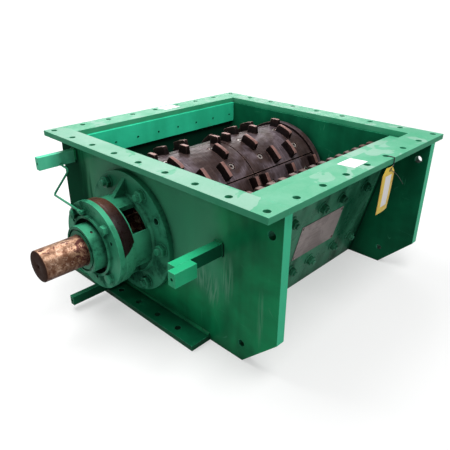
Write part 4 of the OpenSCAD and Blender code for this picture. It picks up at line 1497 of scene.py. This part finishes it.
@made_once("yellow card")
def tag_card(name):
    """Yellow card with orange-brown edges and stains, and one blank white strip."""
    d = bpy.context.scene.crusher_detail
    material, t, shader, at = start_material(name)
    lo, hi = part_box("tag")
    _, y, z = parts_of(t, at)
    stain = level(t, noise(t, at, 48.0, 4.0, 0.6, 0.6), 0.50, 0.68)
    colour_now = blend(t, times(t, stain, 0.55), d.tag, (0.560, 0.300, 0.030))
    middle_y, middle_z = (lo.y + hi.y) / 2, lo.z + 0.060
    dy = calc(t, "ABSOLUTE", calc(t, "SUBTRACT", y, middle_y))
    dz = calc(t, "ABSOLUTE", calc(t, "SUBTRACT", z, middle_z))
    rim = level(t, dy, 0.026, 0.031)
    colour_now = blend(t, times(t, rim, 0.6), colour_now, (0.600, 0.270, 0.020))
    strip = times(t, level(t, dy, 0.0150, 0.0158, 1.0, 0.0), level(t, dz, 0.0420, 0.0428, 1.0, 0.0))
    colour_now = blend(t, strip, colour_now, (0.82, 0.80, 0.80))
    t.links.new(colour_now, shader.inputs["Base Color"])
    t.links.new(level(t, stain, 0.0, 1.0, 0.42, 0.60), shader.inputs["Roughness"])
    bump(t, shader, noise(t, at, 180.0, 3.0), 0.15, 0.0005)
    return material


@made_once("black nylon")
def tie_nylon(name):
    """Black nylon with small scuffs."""
    material, t, shader, at = start_material(name)
    scuff = level(t, noise(t, at, 300.0, 3.0), 0.50, 0.75)
    t.links.new(blend(t, scuff, (0.008, 0.008, 0.009), (0.040, 0.040, 0.042)),
                shader.inputs["Base Color"])
    shader.inputs["Roughness"].default_value = 0.34
    bump(t, shader, scuff, 0.15, 0.0003)
    return material


def tag_sheet(lo, hi):
    """A card that tapers to its top, bows across and curls in at its foot: x falls with the
    square of the distance from the middle line, and with the square of the distance down."""
    rows, columns = 44, 22
    down, across = np.meshgrid(np.linspace(0, 1, rows), np.linspace(-1, 1, columns), indexing="ij")
    tall, wide = hi.z - lo.z, (hi.y - lo.y) / 2
    corner_cut = np.clip(1 - down / 0.14, 0, 1)
    half = wide * (1 - 0.50 * corner_cut)
    y = (lo.y + hi.y) / 2 + across * half
    z = hi.z - down * tall
    x = hi.x - 0.0006 - 0.0016 * across ** 2 - 0.0045 * down ** 2 * (1 + 0.3 * across)
    front = np.stack([x, y, z], -1)
    back = front - np.array([0.0005, 0.0, 0.0])
    return tube(np.concatenate([front, back[:, ::-1]], axis=1))


# The flange hole that the tie hangs from, the tag's own hole, and the end of the tie's tail
TIE_HOLE_IN, TIE_HOLE_Y = 0.0222, 0.0945
TAG_HOLE_Y, TAG_HOLE_Z = 0.078, 0.410
TAIL_END_Y, TAIL_END_Z = 0.169, 0.346


def tie_knot(knot):
    """The small loop of the tie through the tag's hole."""
    a = around(36)
    loop = knot + np.stack([-0.0012 + 0.0008 * np.sin(a * 2), 0.0046 * np.cos(a),
                            0.0036 * np.sin(a)], -1)
    sides = around(10)
    out_of_loop = loop - knot
    out_of_loop /= np.linalg.norm(out_of_loop, axis=1)[:, None]
    through = np.array([1.0, 0.0, 0.0])
    return ring(loop[:, None] + 0.0016 * (out_of_loop[:, None] * np.cos(sides)[None, :, None]
                                          + through * np.sin(sides)[None, :, None]))


def tie_tail(knot, end):
    """The loose end of the tie, which bends up in the middle and thins to its tip."""
    tail = knot + (np.asarray(end) - knot) * np.linspace(0, 1, 14)[:, None]
    tail[:, 2] += 0.006 * np.sin(np.linspace(0, math.pi, 14))
    return pipe(tail, np.linspace(0.0009, 0.0005, 14), 8)


class CRUSHER_OT_tag(bpy.types.Operator):
    """Builds the yellow tag and the tie that holds it"""
    bl_idname = "crusher.build_tag"
    bl_label = "Tag"

    def execute(self, context):
        d = context.scene.crusher_detail
        lo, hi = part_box("tag")
        add_piece("yellow_tag", [tag_sheet(lo, hi)], HOUSING, tag_card(), ["tag"])
        top = FLANGE_TOP + d.tie_r + 0.0002
        edge_x = X_FRONT + d.tie_r + 0.0004
        hole_x = X_FRONT - TIE_HOLE_IN
        knot = np.array([hi.x - 0.0003, TAG_HOLE_Y, TAG_HOLE_Z])
        route = [(hole_x, TIE_HOLE_Y, FLANGE_Z), (hole_x + 0.006, TIE_HOLE_Y, top),
                 (edge_x, TIE_HOLE_Y, top), (edge_x, TIE_HOLE_Y, FLANGE_Z - 0.002), knot]
        shapes = [pipe(smooth_path(route, 0.0022), d.tie_r, 12), tie_knot(knot),
                  tie_tail(knot, (hi.x - 0.0012, TAIL_END_Y, TAIL_END_Z))]
        add_piece("tag_tie_and_knot", shapes, HOUSING, tie_nylon(), ["tag_tie"])
        return {"FINISHED"}


# ---------------------------------------------------------------- stage

def area_lamp(name, place_at, target, power, size, size_y=None):
    """A rectangular lamp that looks at a target."""
    lamp = bpy.data.lights.new(name, "AREA")
    lamp.energy = power
    lamp.shape = "RECTANGLE"
    lamp.size = size
    lamp.size_y = size_y or size
    item = new_object(name, lamp)
    item.location = place_at
    aim = Vector(target) - Vector(place_at)
    item.rotation_mode = "QUATERNION"
    item.rotation_quaternion = aim.to_track_quat("-Z", "Y")


CAMERA_AT = (1.0176, -1.0490, 0.8296)
CAMERA_FACING = (-0.6217, 0.6457, -0.4434)
CAMERA_ROLL = math.radians(0.267)
LENS, SENSOR = 39.18, 36.0
FLOOR_HALF, FLOOR_Z = 60.0, -0.0005


def add_camera():
    """The camera, in front of the drive end and above it."""
    lens = bpy.data.cameras.new("camera")
    lens.lens, lens.sensor_width = LENS, SENSOR
    camera = new_object("camera", lens)
    camera.location = CAMERA_AT
    camera.rotation_mode = "QUATERNION"
    camera.rotation_quaternion = (Vector(CAMERA_FACING).normalized().to_track_quat("-Z", "Y")
                                  @ Quaternion((0, 0, 1), CAMERA_ROLL))
    bpy.context.scene.camera = camera


def ray_share(t, mirror):
    """1 for rays from the camera, the mirror share for glossy rays, and 0 for the others."""
    rays = put(t, "LightPath").outputs
    return calc(t, "MAXIMUM", rays["Is Camera Ray"], times(t, rays["Is Glossy Ray"], mirror))


def add_floor(s):
    """A pale floor that looks brighter to the camera the further it is from the middle."""
    corners = np.array([[-1, -1, 0], [1, -1, 0], [1, 1, 0], [-1, 1, 0]]) * FLOOR_HALF
    corners[:, 2] = FLOOR_Z
    mesh = bpy.data.meshes.new("floor")
    mesh.from_pydata(corners.tolist(), [], [[0, 1, 2, 3]])
    floor = new_object("floor", mesh)
    material, t, shader, at = start_material("pale floor")
    shader.inputs["Base Color"].default_value = tuple(s.floor) + (1.0,)
    shader.inputs["Roughness"].default_value = 0.9
    shader.inputs["Emission Color"].default_value = (1.0, 1.0, 1.0, 1.0)
    away = vector_calc(t, "LENGTH", at)
    glow = level(t, away, 1.2, 5.0, s.glow, 0.95)
    t.links.new(times(t, ray_share(t, s.mirror), glow), shader.inputs["Emission Strength"])
    mesh.materials.append(material)


def add_room_light(s):
    """Even white light, which the camera sees at full brightness."""
    world = bpy.data.worlds.new("room")
    bpy.context.scene.world = world
    world.use_nodes = True
    t = world.node_tree
    background = t.nodes["Background"]
    background.inputs["Color"].default_value = (1.0, 1.0, 1.0, 1.0)
    strength = put(t, "MapRange", Value=ray_share(t, s.mirror))
    strength.inputs["To Min"].default_value = s.fill
    strength.inputs["To Max"].default_value = 1.0
    t.links.new(strength.outputs[0], background.inputs["Strength"])


class CRUSHER_OT_stage(bpy.types.Operator):
    """Builds the camera, floor, room light and lamps"""
    bl_idname = "crusher.build_stage"
    bl_label = "Stage"

    def execute(self, context):
        s = context.scene.crusher_stage
        add_camera()
        add_floor(s)
        add_room_light(s)
        area_lamp("overhead lamp", (-0.9, -0.35, 2.3), (0.05, 0.0, 0.2), s.key, 1.5)
        area_lamp("front lamp", (0.95, -0.10, 2.0), (-0.25, 0.0, 0.35), s.front, 0.9)
        area_lamp("back lamp", (-1.9, 1.9, 1.35), (0.1, 0.0, 0.3), s.sheen, 2.6, 1.3)
        context.scene.view_settings.view_transform = "Standard"
        return {"FINISHED"}


# ---------------------------------------------------------------- add-on

class CRUSHER_PT_panel(bpy.types.Panel):
    """Lists the pieces and the stage"""
    bl_idname = "CRUSHER_PT_panel"
    bl_label = "Single roll crusher"
    bl_space_type = "VIEW_3D"
    bl_region_type = "UI"
    bl_category = "Crusher"

    def draw(self, context):
        for operator in OPERATORS:
            self.layout.operator(operator.bl_idname)
        for name in SETTINGS:
            settings = getattr(context.scene, name)
            box = self.layout.box()
            for key in settings.__annotations__:
                box.prop(settings, key)


SETTINGS = {"crusher_paint": CrusherPaint, "crusher_roll": CrusherRoll,
            "crusher_bearing": CrusherBearing, "crusher_detail": CrusherDetail,
            "crusher_stage": CrusherStage}
OPERATORS = (CRUSHER_OT_stage, CRUSHER_OT_housing, CRUSHER_OT_welds, CRUSHER_OT_bearings,
             CRUSHER_OT_shaft, CRUSHER_OT_roll, CRUSHER_OT_comb, CRUSHER_OT_fasteners,
             CRUSHER_OT_grease_line, CRUSHER_OT_plates, CRUSHER_OT_tag)


def register():
    for item in (*SETTINGS.values(), *OPERATORS, CRUSHER_PT_panel):
        bpy.utils.register_class(item)
    for name, kind in SETTINGS.items():
        setattr(bpy.types.Scene, name, bpy.props.PointerProperty(type=kind))


def unregister():
    for name in SETTINGS:
        delattr(bpy.types.Scene, name)
    for item in (CRUSHER_PT_panel, *reversed(OPERATORS), *reversed(SETTINGS.values())):
        bpy.utils.unregister_class(item)


def main():
    register()
    for operator in OPERATORS:
        group_name, call = operator.bl_idname.split(".")
        getattr(getattr(bpy.ops, group_name), call)()


if __name__ == "__main__":
    main()
